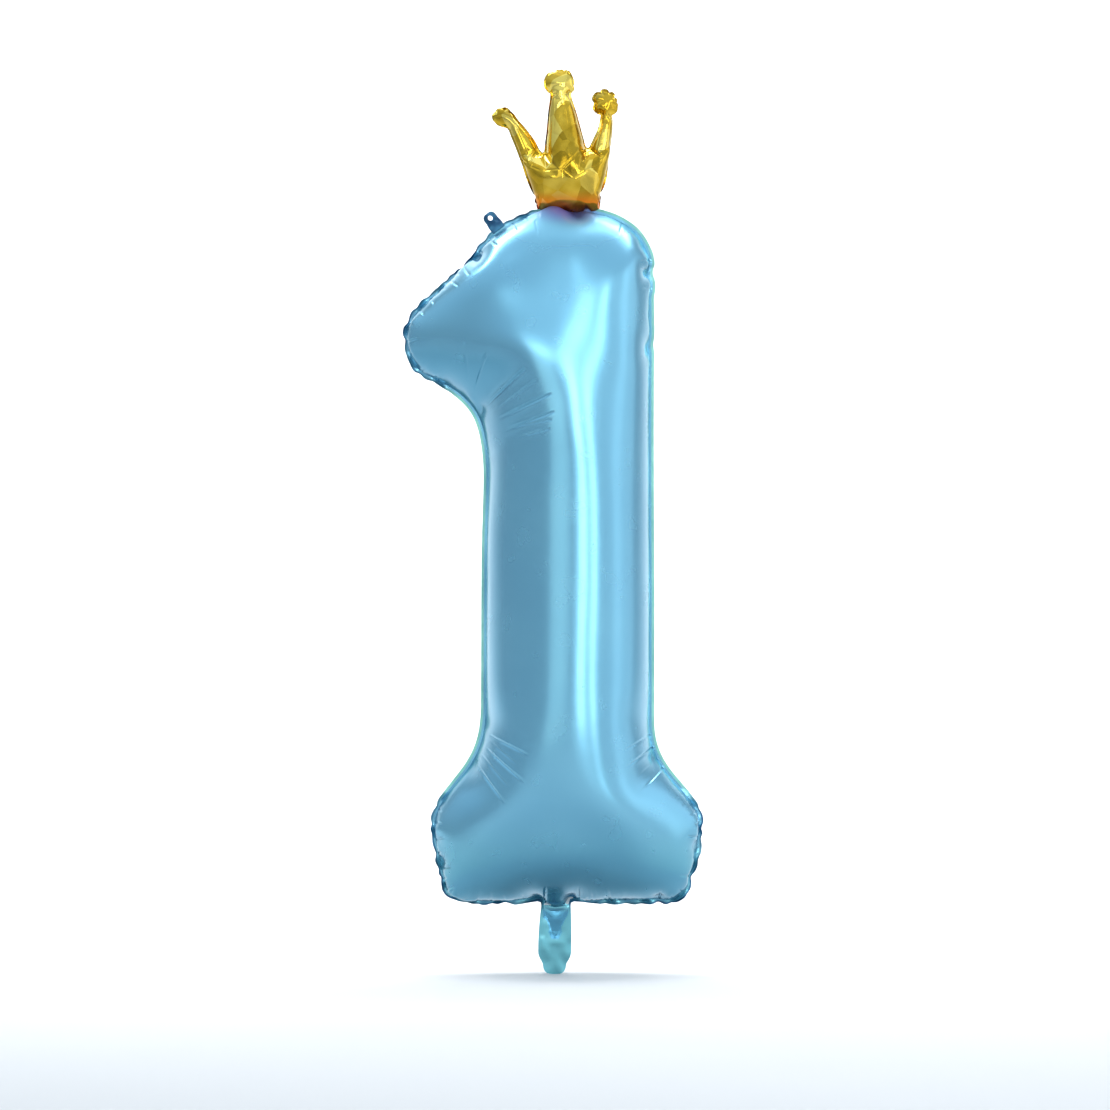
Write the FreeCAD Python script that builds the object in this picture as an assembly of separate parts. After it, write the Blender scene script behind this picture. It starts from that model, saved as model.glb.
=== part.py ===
"""Foil number balloon in the shape of a 1 with a crown, inflated.

Frame: millimetres, +Z up, the seam plane is XZ (y = 0) and the front panel bulges towards -Y.
The origin is the centre of the tail's fold line, where a ribbon is tied round the neck.

The balloon is two flat foil panels welded all round, with a flat margin outside the weld line.
Inflated, each panel is a dome over the weld outline. Its depth is sqrt(2u), where u solves
laplace(u) = -1 inside the outline with u = 0 on it: over a long straight stem that is exactly a
circular tube, and it closes smoothly on the arm, the foot and the shoulders.
Every foil wall is FILM thick, which stands in for a far thinner real foil.
"""
import FreeCAD, Part
import math
import os

V = FreeCAD.Vector

# ---------------------------------------------------------------- driving dimensions (mm)
FILM = 0.5            # wall of every foil panel
VALVE_FILM = 0.25     # wall of each soft valve film
MARGIN = 5.0          # flat seam margin outside the weld line
Z_FOOT = 37.0         # bottom weld line
Z_TOP = 724.0         # top weld line, under the crown
DEPTH_SCALE = 1.0     # dome depth against the ideal inflated section
COLS = 21             # stations across each panel

# inflated weld line, as (height, x) up each side
LEFT_EDGE = [
    (37.0, -103.0), (39.0, -107.5), (43.0, -111.0), (50.0, -114.5), (67.0, -119.0),
    (87.0, -123.5), (104.0, -126.0), (119.0, -126.0), (130.0, -122.0), (142.0, -114.0),
    (157.0, -102.0), (172.0, -90.5), (187.0, -82.5), (202.0, -78.0), (222.0, -75.5),
    (260.0, -75.0), (377.0, -74.5), (437.0, -73.0), (467.0, -72.5), (487.0, -74.0),
    (505.0, -77.0), (519.0, -81.5), (529.0, -87.0), (538.0, -95.0), (549.5, -110.0),
    (558.0, -126.0), (565.0, -139.0), (572.0, -147.0), (584.0, -151.5), (602.0, -154.0),
    (613.0, -152.5), (622.0, -146.5), (637.5, -131.5), (660.0, -106.0), (674.0, -91.5),
    (688.0, -79.5), (702.0, -67.0), (710.5, -55.5), (716.5, -43.5), (720.5, -32.0),
    (724.0, -21.0),
]
RIGHT_EDGE = [
    (37.0, 114.0), (39.0, 118.5), (43.0, 122.0), (50.0, 125.5), (62.0, 129.0),
    (77.0, 133.5), (97.0, 137.0), (114.0, 138.0), (127.0, 135.5), (141.5, 125.5),
    (157.5, 111.0), (174.0, 99.0), (191.0, 91.5), (207.0, 88.7), (240.0, 88.5),
    (350.0, 88.5), (450.0, 88.0), (550.0, 88.0), (645.0, 88.5), (670.0, 88.5),
    (686.0, 86.0), (697.0, 80.5), (706.0, 73.0), (713.0, 64.0), (718.0, 53.5),
    (721.5, 43.5), (724.0, 36.0),
]

# neck and tail
NECK_W = 33.0         # flat width of the neck and tail
TAIL_GAP = 0.8        # clearance each side of the tail's fold line
TAIL_END_Z = -33.0    # lowest point of the tail
TAIL_SHOULDER_Z = -14.0
TAIL_END_W = 20.0     # width of the rounded mouth
MOUTH_W = 13.0        # width of the straw slit at the mouth
VALVE_W = 25.0        # flat width of the valve
VALVE_TOP_Z = 98.0    # free end of the valve, inside the foot

# waist under the crown
WAIST_Z = 729.0       # fold line between the number and the crown
WAIST_GAP = 0.6       # clearance each side of it
WAIST_X = (-21.5, 36.0)

# hanging tab
TAB_POS = (-61.0, 706.0)   # on the weld line
TAB_W = 15.0
TAB_LEN = 17.0
TAB_GAP = 0.8
EYELET_R = 2.5

# crown, as (x, z) in the row frame
CROWN_MARGIN = 3.0
CROWN_BASE = [        # (height, left x, right x, half depth)
    (729.6 + 4.0, -22.0, 35.5, 0.9),
    (741.0, -26.0, 37.0, 12.0),
    (751.0, -30.5, 39.5, 19.0),
    (763.0, -36.0, 42.5, 22.5),
    (776.0, -40.5, 45.5, 21.0),
    (788.0, -44.5, 48.0, 14.0),
    (795.0, -46.0, 49.0, 6.0),
]
SPIKES = [            # foot centre, foot radius, tip centre, tip radius, ball centre, ball radius
    ((-28.0, 770.0), 17.0, (-50.0, 815.0), 6.5, (-56.0, 822.0), 10.5),
    ((4.0, 772.0), 22.0, (-1.0, 846.0), 7.5, (-2.0, 857.5), 13.5),
    ((32.0, 772.0), 17.0, (45.0, 828.0), 7.0, (47.0, 838.0), 12.5),
]


# ---------------------------------------------------------------- helpers
def pchip(table):
    """x as a smooth function of height through the table, with no overshoot."""
    zs = [p[0] for p in table]
    xs = [p[1] for p in table]
    n = len(zs)
    h = [zs[i + 1] - zs[i] for i in range(n - 1)]
    d = [(xs[i + 1] - xs[i]) / h[i] for i in range(n - 1)]
    m = [0.0] * n
    m[0], m[-1] = d[0], d[-1]
    for i in range(1, n - 1):
        if d[i - 1] * d[i] > 0:
            w1, w2 = 2 * h[i] + h[i - 1], h[i] + 2 * h[i - 1]
            m[i] = (w1 + w2) / (w1 / d[i - 1] + w2 / d[i])

    def at(z):
        z = min(max(z, zs[0]), zs[-1])
        i = 0
        while i < n - 2 and z > zs[i + 1]:
            i += 1
        t = (z - zs[i]) / h[i]
        a, b = 2 * t**3 - 3 * t**2 + 1, t**3 - 2 * t**2 + t
        c, e = -2 * t**3 + 3 * t**2, t**3 - t**2
        return a * xs[i] + b * h[i] * m[i] + c * xs[i + 1] + e * h[i] * m[i + 1]

    return at


x_left, x_right = pchip(LEFT_EDGE), pchip(RIGHT_EDGE)
H = Z_TOP - Z_FOOT

FROM_FOOT = [0.0, 0.9, 3.2, 7.0, 12.5, 19.5, 28.0, 38.0, 50.0, 63.0, 76.0, 88.0, 99.0, 111.0,
             124.0, 139.0, 157.0, 182.0, 220.0, 270.0, 325.0, 380.0, 424.0, 453.0, 473.0, 488.0]
FROM_TOP = [0.0, 0.9, 3.0, 6.3, 10.5, 16.0, 23.0, 31.0, 40.0, 50.0, 61.0, 73.0, 85.0, 97.0, 109.0,
            120.0, 131.0, 142.0, 153.0, 163.0, 173.0, 184.0]
ROWS = sorted([Z_FOOT + d for d in FROM_FOOT] + [Z_TOP - d for d in FROM_TOP])
SS = [-math.cos(math.pi * j / (COLS - 1)) for j in range(COLS)]


def plan_point(i, j):
    z = ROWS[i]
    a, b = x_left(z), x_right(z)
    return (a + (b - a) * (1 + SS[j]) / 2, z)


def membrane():
    """u at every station, by linear finite elements over the stations' own triangles."""
    ni, nj = len(ROWS), COLS
    pts = {(i, j): plan_point(i, j) for i in range(ni) for j in range(nj)}
    free = [(i, j) for i in range(1, ni - 1) for j in range(1, nj - 1)]
    rows = {k: {} for k in free}
    load = {k: 0.0 for k in free}
    for i in range(ni - 1):
        for j in range(nj - 1):
            a, b, c, d = (i, j), (i, j + 1), (i + 1, j + 1), (i + 1, j)
            for tri in ((a, b, c), (a, c, d), (a, b, d), (b, c, d)):
                p = [pts[k] for k in tri]
                area2 = (p[1][0] - p[0][0]) * (p[2][1] - p[0][1]) - (p[2][0] - p[0][0]) * (p[1][1] - p[0][1])
                area = abs(area2) / 2
                if area < 1e-9:
                    continue
                g = [((p[(k + 1) % 3][1] - p[(k + 2) % 3][1]) / area2,
                      (p[(k + 2) % 3][0] - p[(k + 1) % 3][0]) / area2) for k in range(3)]
                for k in range(3):
                    if tri[k] not in rows:
                        continue
                    load[tri[k]] += 0.5 * area / 3
                    for m in range(3):
                        if tri[m] in rows:
                            w = 0.5 * area * (g[k][0] * g[m][0] + g[k][1] * g[m][1])
                            rows[tri[k]][tri[m]] = rows[tri[k]].get(tri[m], 0.0) + w
    index = {k: n for n, k in enumerate(free)}
    mat = [[(index[m], w) for m, w in rows[k].items()] for k in free]
    diag = [rows[k][k] for k in free]
    rhs = [load[k] for k in free]
    x = [0.0] * len(free)
    r = rhs[:]
    z = [r[n] / diag[n] for n in range(len(r))]
    p, rz = z[:], sum(a * b for a, b in zip(r, z))
    for _ in range(1200):
        ap = [sum(w * p[m] for m, w in row) for row in mat]
        alpha = rz / sum(a * b for a, b in zip(p, ap))
        x = [a + alpha * b for a, b in zip(x, p)]
        r = [a - alpha * b for a, b in zip(r, ap)]
        if max(abs(a) for a in r) < 1e-7:
            break
        z = [r[n] / diag[n] for n in range(len(r))]
        new = sum(a * b for a, b in zip(r, z))
        p = [a + new / rz * b for a, b in zip(z, p)]
        rz = new
    u = {k: 0.0 for k in pts}
    for k, n in index.items():
        u[k] = max(x[n], 0.0)
    return u


def basis(n, t):
    """The n + 2 cubic B-spline basis values at t, over the clamped knots 0..n - 1, and their second derivatives."""
    knots = [0.0] * 3 + [float(k) for k in range(n)] + [float(n - 1)] * 3
    count = n + 2

    def values(degree):
        span = min(int(t), n - 2) + 3
        b = [0.0] * (len(knots) - 1)
        b[span] = 1.0
        for p in range(1, degree + 1):
            for i in range(len(knots) - 1 - p):
                v = 0.0
                if knots[i + p] > knots[i]:
                    v += (t - knots[i]) / (knots[i + p] - knots[i]) * b[i]
                if knots[i + p + 1] > knots[i + 1]:
                    v += (knots[i + p + 1] - t) / (knots[i + p + 1] - knots[i + 1]) * b[i + 1]
                b[i] = v
        return b

    lin = values(1)

    def ratio(a, p, i):
        gap = knots[i + p] - knots[i]
        return a / gap if gap > 0 else 0.0

    quad = [2 * (ratio(lin[i], 2, i) - ratio(lin[i + 1], 2, i + 1)) for i in range(len(knots) - 3)]
    second = [3 * (ratio(quad[i], 3, i) - ratio(quad[i + 1], 3, i + 1)) for i in range(count)]
    return values(3)[:count], second


def inverse(m):
    n = len(m)
    a = [row[:] + [1.0 if i == j else 0.0 for j in range(n)] for i, row in enumerate(m)]
    for c in range(n):
        p = max(range(c, n), key=lambda r: abs(a[r][c]))
        a[c], a[p] = a[p], a[c]
        d = a[c][c]
        a[c] = [v / d for v in a[c]]
        for r in range(n):
            if r != c and a[r][c]:
                f = a[r][c]
                a[r] = [v - f * w for v, w in zip(a[r], a[c])]
    return [row[n:] for row in a]


def pole_matrix(n):
    """Turns n points into the n + 2 poles of the natural cubic spline through them."""
    rows = [basis(n, float(k))[0] for k in range(n)]
    rows.insert(1, basis(n, 0.0)[1])
    rows.insert(n, basis(n, float(n - 1))[1])
    inv = inverse(rows)
    keep = [0] + list(range(2, n)) + [n + 1]
    return [[row[k] for k in keep] for row in inv]


def surface(grid):
    """A bicubic B-spline surface through the grid. Its edges are splines through the grid's edge points only."""
    ni, nj = len(grid), len(grid[0])
    mi, mj = pole_matrix(ni), pole_matrix(nj)
    half = [[V(*[sum(w * grid[k][j][c] for k, w in enumerate(row)) for c in range(3)]) for j in range(nj)] for row in mi]
    poles = [[V(*[sum(w * half[i][k][c] for k, w in enumerate(row)) for c in range(3)]) for row in mj]
             for i in range(ni + 2)]
    s = Part.BSplineSurface()
    s.buildFromPolesMultsKnots(
        poles, [4] + [1] * (ni - 2) + [4], [4] + [1] * (nj - 2) + [4],
        [float(k) for k in range(ni)], [float(k) for k in range(nj)], False, False, 3, 3)
    return s.toShape()


def plate(wire_points, y0, y1):
    """A flat plate between two y planes, from points (x, z)."""
    pts = [V(x, y0, z) for x, z in wire_points]
    return Part.Face(Part.makePolygon(pts + [pts[0]])).extrude(V(0, y1 - y0, 0))


def edge_normal(side, z):
    """Outward normal of the weld line in the seam plane, as (x, z)."""
    f = x_left if side == "left" else x_right
    lo, hi = max(Z_FOOT, z - 1.0), min(Z_TOP, z + 1.0)
    slope = (f(hi) - f(lo)) / (hi - lo)
    n = (-1.0, slope) if side == "left" else (1.0, -slope)
    size = math.hypot(*n)
    return (n[0] / size, n[1] / size)


def export(shape, name):
    if shape.Volume < 0:
        shape.reverse()
    solids = shape.Solids
    ok = shape.isValid() and len(solids) == 1
    box = shape.BoundBox
    print("%-20s valid %s solids %d volume %.0f mm3  x %.1f..%.1f y %.2f..%.2f z %.1f..%.1f" % (
        name, ok, len(solids), shape.Volume, box.XMin, box.XMax, box.YMin, box.YMax, box.ZMin, box.ZMax))
    (solids[0] if len(solids) == 1 else shape).exportStep("parts/%s.step" % name)


# ---------------------------------------------------------------- number panels
def number_panel():
    """The front panel: dome, flat seam margin, neck and waist stubs, one closed solid."""
    u = membrane()
    ni = len(ROWS)
    outer = []
    for i in range(ni):
        row = []
        for j in range(COLS):
            x, z = plan_point(i, j)
            row.append(V(x, -FILM - DEPTH_SCALE * math.sqrt(2 * u[i, j]), z))
        outer.append(row)
    inner = []
    for i in range(ni):
        row = []
        for j in range(COLS):
            p = outer[i][j]
            z = ROWS[i]
            if i in (0, ni - 1) or j in (0, COLS - 1):
                n = V(0, 0, 0)
                if i == 0:
                    n += V(0, 0, -1)
                if i == ni - 1:
                    n += V(0, 0, 1)
                if j == 0 and i not in (0, ni - 1):
                    e = edge_normal("left", z)
                    n += V(e[0], 0, e[1])
                if j == COLS - 1 and i not in (0, ni - 1):
                    e = edge_normal("right", z)
                    n += V(e[0], 0, e[1])
                if i in (0, ni - 1) and j in (0, COLS - 1):
                    n += V(-1 if j == 0 else 1, 0, 0)
                n.normalize()
                row.append(V(p.x - FILM * n.x, 0.0, p.z - FILM * n.z))
            else:
                du = outer[i + 1][j] - outer[i - 1][j]
                dv = outer[i][j + 1] - outer[i][j - 1]
                n = du.cross(dv)
                n.normalize()
                if n.y > 0:
                    n = n * -1
                row.append(p - n * FILM)
        inner.append(row)
    dome_out, dome_in = surface(outer), surface(inner)

    # cut line: the weld line moved out by the margin, with the neck and waist stubs
    def side_curve(side, y):
        f = x_left if side == "left" else x_right
        hs = [Z_FOOT + 4.0, Z_FOOT + 9.0]
        z = Z_FOOT + 18.0
        while z < Z_TOP - 12.0:
            hs.append(z)
            z += 9.0
        hs += [Z_TOP - 8.0, Z_TOP - 4.0]
        pts = []
        for h in hs:
            n = edge_normal(side, h)
            pts.append(V(f(h) + MARGIN * n[0], y, h + MARGIN * n[1]))
        sign = -1 if side == "left" else 1
        pts.insert(0, V(f(Z_FOOT) + sign * 4.0, y, Z_FOOT - MARGIN + 1.0))
        pts.insert(0, V(f(Z_FOOT) - sign * 2.0, y, Z_FOOT - MARGIN))
        last = WAIST_X[0] if side == "left" else WAIST_X[1]
        pts.append(V(last, y, Z_TOP + 2.2))
        c = Part.BSplineCurve()
        c.interpolate(pts)
        return c.toShape(), pts[0], pts[-1]

    def cut_line(y):
        left, lb, lt = side_curve("left", y)
        right, rb, rt = side_curve("right", y)
        top, w = WAIST_Z - WAIST_GAP, NECK_W / 2
        zf = Z_FOOT - MARGIN
        lines = [
            (lt, V(WAIST_X[0], y, top)), (V(WAIST_X[0], y, top), V(WAIST_X[1], y, top)),
            (V(WAIST_X[1], y, top), rt),
            (rb, V(w, y, zf)), (V(w, y, zf), V(w, y, TAIL_GAP)),
            (V(w, y, TAIL_GAP), V(-w, y, TAIL_GAP)), (V(-w, y, TAIL_GAP), V(-w, y, zf)),
            (V(-w, y, zf), lb),
        ]
        edges = [left, right] + [Part.LineSegment(a, b).toShape() for a, b in lines]
        return Part.Wire(Part.__sortEdges__(edges))

    front_cut, back_cut = cut_line(-FILM), cut_line(0.0)
    ring_front = Part.makeFace([front_cut, Part.Wire(Part.__sortEdges__(dome_out.Edges))], "Part::FaceMakerBullseye")
    ring_back = Part.makeFace([back_cut, Part.Wire(Part.__sortEdges__(dome_in.Edges))], "Part::FaceMakerBullseye")
    wall = front_cut.extrude(V(0, FILM, 0))
    shell = Part.makeShell([dome_out, dome_in] + ring_front.Faces + ring_back.Faces + wall.Faces)
    shell.sewShape()
    solid = Part.makeSolid(shell)
    if solid.Volume < 0:
        solid.reverse()
    # the channel that the valve lies in, through the neck and the bottom weld
    channel = Part.makeBox(VALVE_W + 0.6, VALVE_FILM, Z_FOOT + 6.0,
                           V(-VALVE_W / 2 - 0.3, -VALVE_FILM, -1.0))
    return solid.cut(channel)


def tail_panel():
    """The front half of the tail, from the fold line to the rounded mouth, with its inlet channel."""
    w, e, y = NECK_W / 2, TAIL_END_W / 2, -FILM
    r = e
    zc = TAIL_END_Z + 6.0
    top = -TAIL_GAP
    pts = [V(-w, y, top), V(w, y, top), V(w, y, TAIL_SHOULDER_Z), V(e, y, TAIL_SHOULDER_Z - 9.0), V(e, y, zc)]
    edges = [Part.LineSegment(a, b).toShape() for a, b in zip(pts, pts[1:])]
    edges.append(Part.Arc(V(r, y, zc), V(0, y, TAIL_END_Z), V(-r, y, zc)).toShape())
    back = [V(-e, y, zc), V(-e, y, TAIL_SHOULDER_Z - 9.0), V(-w, y, TAIL_SHOULDER_Z), V(-w, y, top)]
    edges += [Part.LineSegment(a, b).toShape() for a, b in zip(back, back[1:])]
    body = Part.Face(Part.Wire(edges)).extrude(V(0, FILM, 0))
    wide = Part.makeBox(VALVE_W, VALVE_FILM, 14.0, V(-VALVE_W / 2, -VALVE_FILM, -14.0))
    slit = Part.makeBox(MOUTH_W, VALVE_FILM, 40.0, V(-MOUTH_W / 2, -VALVE_FILM, -40.0))
    return body.cut(wide).cut(slit)


def hang_tab():
    """The welded tab with its eyelet: both layers as one plate, standing out of the seam margin."""
    n = edge_normal("left", TAB_POS[1])
    t = (n[1], -n[0])

    def at(a, b, y):  # a along the edge, b outwards from the weld line
        return V(TAB_POS[0] + a * t[0] + b * n[0], y, TAB_POS[1] + a * t[1] + b * n[1])

    y, w, root = -FILM, TAB_W / 2, MARGIN + 2 * TAB_GAP
    straight = root + TAB_LEN - w
    edges = [
        Part.LineSegment(at(-w, straight, y), at(-w, root, y)).toShape(),
        Part.LineSegment(at(-w, root, y), at(w, root, y)).toShape(),
        Part.LineSegment(at(w, root, y), at(w, straight, y)).toShape(),
        Part.Arc(at(w, straight, y), at(0, straight + w, y), at(-w, straight, y)).toShape(),
    ]
    body = Part.Face(Part.Wire(Part.__sortEdges__(edges))).extrude(V(0, 2 * FILM, 0))
    centre = at(0, straight, -5)
    hinge = at(0, MARGIN + TAB_GAP, 0)
    print("tab eyelet centre %.3f %.3f  fold line through %.3f %.3f along %.4f %.4f" % (
        centre.x, centre.z, hinge.x, hinge.z, t[0], t[1]))
    return body.cut(Part.makeCylinder(EYELET_R, 10, centre, V(0, 1, 0)))


# ---------------------------------------------------------------- crown panels
def ellipse_wire(z, xl, xr, d):
    """A level ellipse whose seam is at its rearmost point, clear of the seam plane."""
    c = V((xl + xr) / 2, 0, z)
    a = (xr - xl) / 2
    e = Part.Ellipse(c + V(a, 0, 0), c + V(0, d, 0), c)
    start = math.pi / 2 if e.value(math.pi / 2).y > 0 else -math.pi / 2
    return Part.Wire(e.toShape(start, start + 2 * math.pi))


def crown_body(shrink):
    """The crown's inflated body as one solid, every size smaller by shrink."""
    body = Part.makeLoft([ellipse_wire(z + (shrink if k == 0 else -shrink if k == len(CROWN_BASE) - 1 else 0),
                                       xl + shrink, xr - shrink, max(d - shrink, 0.3))
                          for k, (z, xl, xr, d) in enumerate(CROWN_BASE)], True, False)
    for foot, rf, tip, rt, ball, rb in SPIKES:
        a, b = V(foot[0], 0, foot[1]), V(tip[0], 0, tip[1])
        c = V(ball[0], 0, ball[1])
        cone = Part.makeCone(rf - shrink, rt - shrink, (b - a).Length)
        cone.rotate(V(0, 0, 0), V(0, 0, 1), 90)
        cone.Placement = FreeCAD.Placement(a, FreeCAD.Rotation(V(0, 1, 0), math.degrees(math.atan2(b.x - a.x, b.z - a.z)))).multiply(cone.Placement)
        body = body.fuse(cone)
        body = body.fuse(Part.makeSphere(rb - shrink, c, V(0, 1, 0)))
    return body


def crown_plate():
    """The flat seam margin, as a plate two films thick over the whole crown outline."""
    m, y = CROWN_MARGIN, -FILM
    z0 = WAIST_Z + WAIST_GAP
    left = [(xl - m, z) for z, xl, xr, d in CROWN_BASE]
    right = [(xr + m, z) for z, xl, xr, d in CROWN_BASE]
    pts = [(WAIST_X[0], z0)] + left + right[::-1] + [(WAIST_X[1], z0)]
    out = plate(pts, -FILM, FILM)
    for foot, rf, tip, rt, ball, rb in SPIKES:
        a, b = V(foot[0], 0, foot[1]), V(tip[0], 0, tip[1])
        d = (b - a)
        d.normalize()
        s = V(d.z, 0, -d.x)
        q = [a - s * (rf + m), b - s * (rt + m), b + s * (rt + m), a + s * (rf + m)]
        out = out.fuse(plate([(p.x, p.z) for p in q], -FILM, FILM))
        out = out.fuse(Part.makeCylinder(rb + m, 2 * FILM, V(ball[0], -FILM, ball[1]), V(0, 1, 0)))
    return out.removeSplitter()


def main():
    os.makedirs("parts", exist_ok=True)
    front = number_panel()
    export(front, "number_front_film")
    export(front.mirror(V(0, 0, 0), V(0, 1, 0)), "number_back_film")

    valve = Part.makeBox(VALVE_W, VALVE_FILM, VALVE_TOP_Z - TAIL_GAP, V(-VALVE_W / 2, -VALVE_FILM, TAIL_GAP))
    export(valve, "valve_front_film")
    export(valve.mirror(V(0, 0, 0), V(0, 1, 0)), "valve_back_film")

    tail = tail_panel()
    export(tail, "tail_front_film")
    export(tail.mirror(V(0, 0, 0), V(0, 1, 0)), "tail_back_film")

    export(hang_tab(), "hang_tab")

    crown = crown_body(0.0).fuse(crown_plate()).cut(crown_body(FILM))
    half = Part.makeBox(400, 200, 400, V(-200, -200, 600))
    crown_front = crown.common(half)
    export(crown_front, "crown_front_film")
    export(crown_front.mirror(V(0, 0, 0), V(0, 1, 0)), "crown_back_film")


main()
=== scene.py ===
import math
import bpy
import numpy as np
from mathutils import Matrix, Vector
from mathutils.geometry import delaunay_2d_cdt
from mathutils.kdtree import KDTree


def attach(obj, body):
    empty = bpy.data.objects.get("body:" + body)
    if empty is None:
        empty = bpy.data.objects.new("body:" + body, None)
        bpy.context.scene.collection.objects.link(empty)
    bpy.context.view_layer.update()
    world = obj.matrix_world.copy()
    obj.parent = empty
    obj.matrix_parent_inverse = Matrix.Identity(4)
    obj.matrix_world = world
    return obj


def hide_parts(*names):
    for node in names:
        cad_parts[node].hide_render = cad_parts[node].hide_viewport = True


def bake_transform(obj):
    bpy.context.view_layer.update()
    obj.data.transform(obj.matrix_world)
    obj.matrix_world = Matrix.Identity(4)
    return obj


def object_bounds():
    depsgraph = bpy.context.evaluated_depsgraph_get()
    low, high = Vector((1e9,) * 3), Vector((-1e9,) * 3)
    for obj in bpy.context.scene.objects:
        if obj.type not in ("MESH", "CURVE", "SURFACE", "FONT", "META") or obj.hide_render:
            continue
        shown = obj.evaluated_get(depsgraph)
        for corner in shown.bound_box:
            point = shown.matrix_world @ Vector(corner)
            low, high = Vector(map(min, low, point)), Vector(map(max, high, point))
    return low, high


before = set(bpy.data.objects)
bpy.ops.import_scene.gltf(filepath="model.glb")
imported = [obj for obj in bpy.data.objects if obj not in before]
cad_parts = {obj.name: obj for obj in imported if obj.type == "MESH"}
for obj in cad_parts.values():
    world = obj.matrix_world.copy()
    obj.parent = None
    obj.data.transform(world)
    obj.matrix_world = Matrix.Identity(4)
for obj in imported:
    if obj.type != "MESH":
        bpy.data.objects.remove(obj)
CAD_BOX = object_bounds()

MM = 0.001

# ---------------------------------------------------------------- flat patterns (mm)
# weld line of the number film as it is cut, anticlockwise from the neck's right root
NUMBER = [
    (40.0, -2.0), (77.4, -0.5), (111.0, 6.7), (142.0, 18.7), (157.9, 48.5), (167.1, 79.2), (171.8, 107.5), (162.3, 132.4),
    (150.5, 156.5), (140.6, 182.9), (136.8, 214.3), (136.0, 253.1), (135.1, 300.4), (134.2, 350.0), (133.4, 400.0),
    (132.5, 450.0), (131.4, 500.0), (130.3, 549.7), (128.9, 597.4), (126.2, 637.9), (122.1, 671.9), (112.5, 702.2),
    (94.6, 727.1), (70.4, 744.1), (42.5, 755.3), (13.1, 757.9), (-15.4, 757.3), (-44.2, 753.2), (-71.9, 740.8),
    (-97.5, 722.1), (-122.3, 700.4), (-145.7, 678.8), (-166.5, 657.0), (-179.3, 633.7), (-181.8, 608.2), (-179.4, 582.2),
    (-162.5, 562.0), (-145.3, 541.8), (-132.5, 518.1), (-127.1, 489.9), (-124.9, 453.4), (-124.5, 401.6), (-124.0, 350.2),
    (-123.9, 300.2), (-123.8, 251.5), (-124.4, 207.9), (-130.8, 173.1), (-141.4, 143.8), (-151.8, 115.9), (-153.6, 88.3),
    (-146.8, 61.6), (-139.0, 36.3), (-125.5, 15.5), (-101.5, 6.6), (-73.1, -1.5), (-40.0, -2.0)]
NECK_TOP = -2.0        # flat height of the neck's root
NECK_LEN = 43.0        # from the root to the point where the weld closes the neck
TAIL_LEN = 36.0        # flat film below that point
HALF = 16.5            # half the neck film's width
FLANGE = 5.0           # sealed margin outside the weld
# where that weld line stands once the balloon is blown up, evenly spaced along it (X, Z)
NUMBER_STANDS = [
    (29.1, 38.2), (84.4, 31.8), (131.0, 47.5), (141.0, 99.5), (121.4, 146.5), (90.5, 195.7), (87.6, 255.1), (87.6, 314.4),
    (88.1, 373.6), (88.5, 432.7), (88.8, 491.8), (89.3, 550.7), (91.3, 608.0), (93.3, 659.9), (77.5, 708.8), (33.6, 722.3),
    (-16.3, 722.2), (-62.4, 712.9), (-94.0, 670.9), (-135.4, 641.1), (-150.2, 594.5), (-125.7, 554.5), (-81.5, 518.4),
    (-72.3, 459.5), (-73.0, 400.1), (-73.5, 340.7), (-74.5, 281.5), (-75.7, 222.1), (-95.3, 166.4), (-130.0, 120.5),
    (-124.8, 70.1), (-93.4, 41.9), (-41.0, 38.0)]
# the outline that the weld line keeps to (X, Z)
NUMBER_OUTLINE = [
    (-102.0, 37.0), (-87.8, 37.0), (-73.6, 37.0), (-59.4, 37.0), (-45.2, 37.0), (-31.0, 37.0), (-16.8, 37.0), (-2.6, 37.0), (11.6, 37.0),
    (25.8, 37.0), (40.0, 37.0), (54.2, 37.0), (68.4, 37.0), (82.6, 37.0), (96.7, 37.0), (110.9, 37.0), (122.5, 43.7), (127.6, 56.9),
    (131.7, 70.5), (135.0, 84.3), (137.2, 98.3), (138.0, 112.5), (135.8, 126.4), (128.1, 138.3), (118.8, 149.0), (109.3, 159.6), (100.9, 171.0),
    (94.3, 183.5), (89.9, 197.0), (88.5, 211.1), (88.5, 282.1), (88.5, 353.1), (88.1, 424.1), (87.9, 495.0), (88.1, 566.0), (88.5, 637.0),
    (88.5, 651.2), (88.7, 665.4), (87.5, 679.5), (83.0, 692.9), (74.6, 704.3), (63.6, 713.2), (50.7, 719.1), (37.4, 723.8), (23.3, 725.3),
    (9.1, 726.0), (-5.1, 725.5), (-19.2, 724.2), (-32.8, 720.2), (-46.1, 715.4), (-58.5, 708.6), (-69.4, 699.5), (-78.8, 688.8), (-87.9, 678.0),
    (-97.7, 667.7), (-108.1, 658.1), (-118.8, 648.7), (-129.5, 639.4), (-139.7, 629.5), (-149.1, 618.9), (-154.0, 605.8), (-152.9, 591.7), (-149.8, 577.8),
    (-141.5, 566.7), (-129.2, 559.6), (-116.5, 553.2), (-104.5, 545.7), (-93.5, 536.7), (-84.8, 525.6), (-79.1, 512.6), (-75.7, 498.8), (-73.7, 484.7),
    (-72.6, 470.6), (-72.5, 456.4), (-73.2, 428.0), (-74.4, 385.4), (-74.7, 342.9), (-74.9, 286.1), (-75.2, 229.3), (-76.0, 215.1), (-78.2, 201.1),
    (-82.3, 187.5), (-88.7, 174.9), (-96.9, 163.3), (-105.8, 152.3), (-114.6, 141.1), (-122.4, 129.3), (-126.3, 115.7), (-125.8, 101.6), (-123.6, 87.6),
    (-120.6, 73.7), (-117.2, 59.9), (-113.0, 46.4), (-103.0, 37.0)]
NECK_RISE = 40.0       # how far the neck's root comes up as the foot fills

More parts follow.
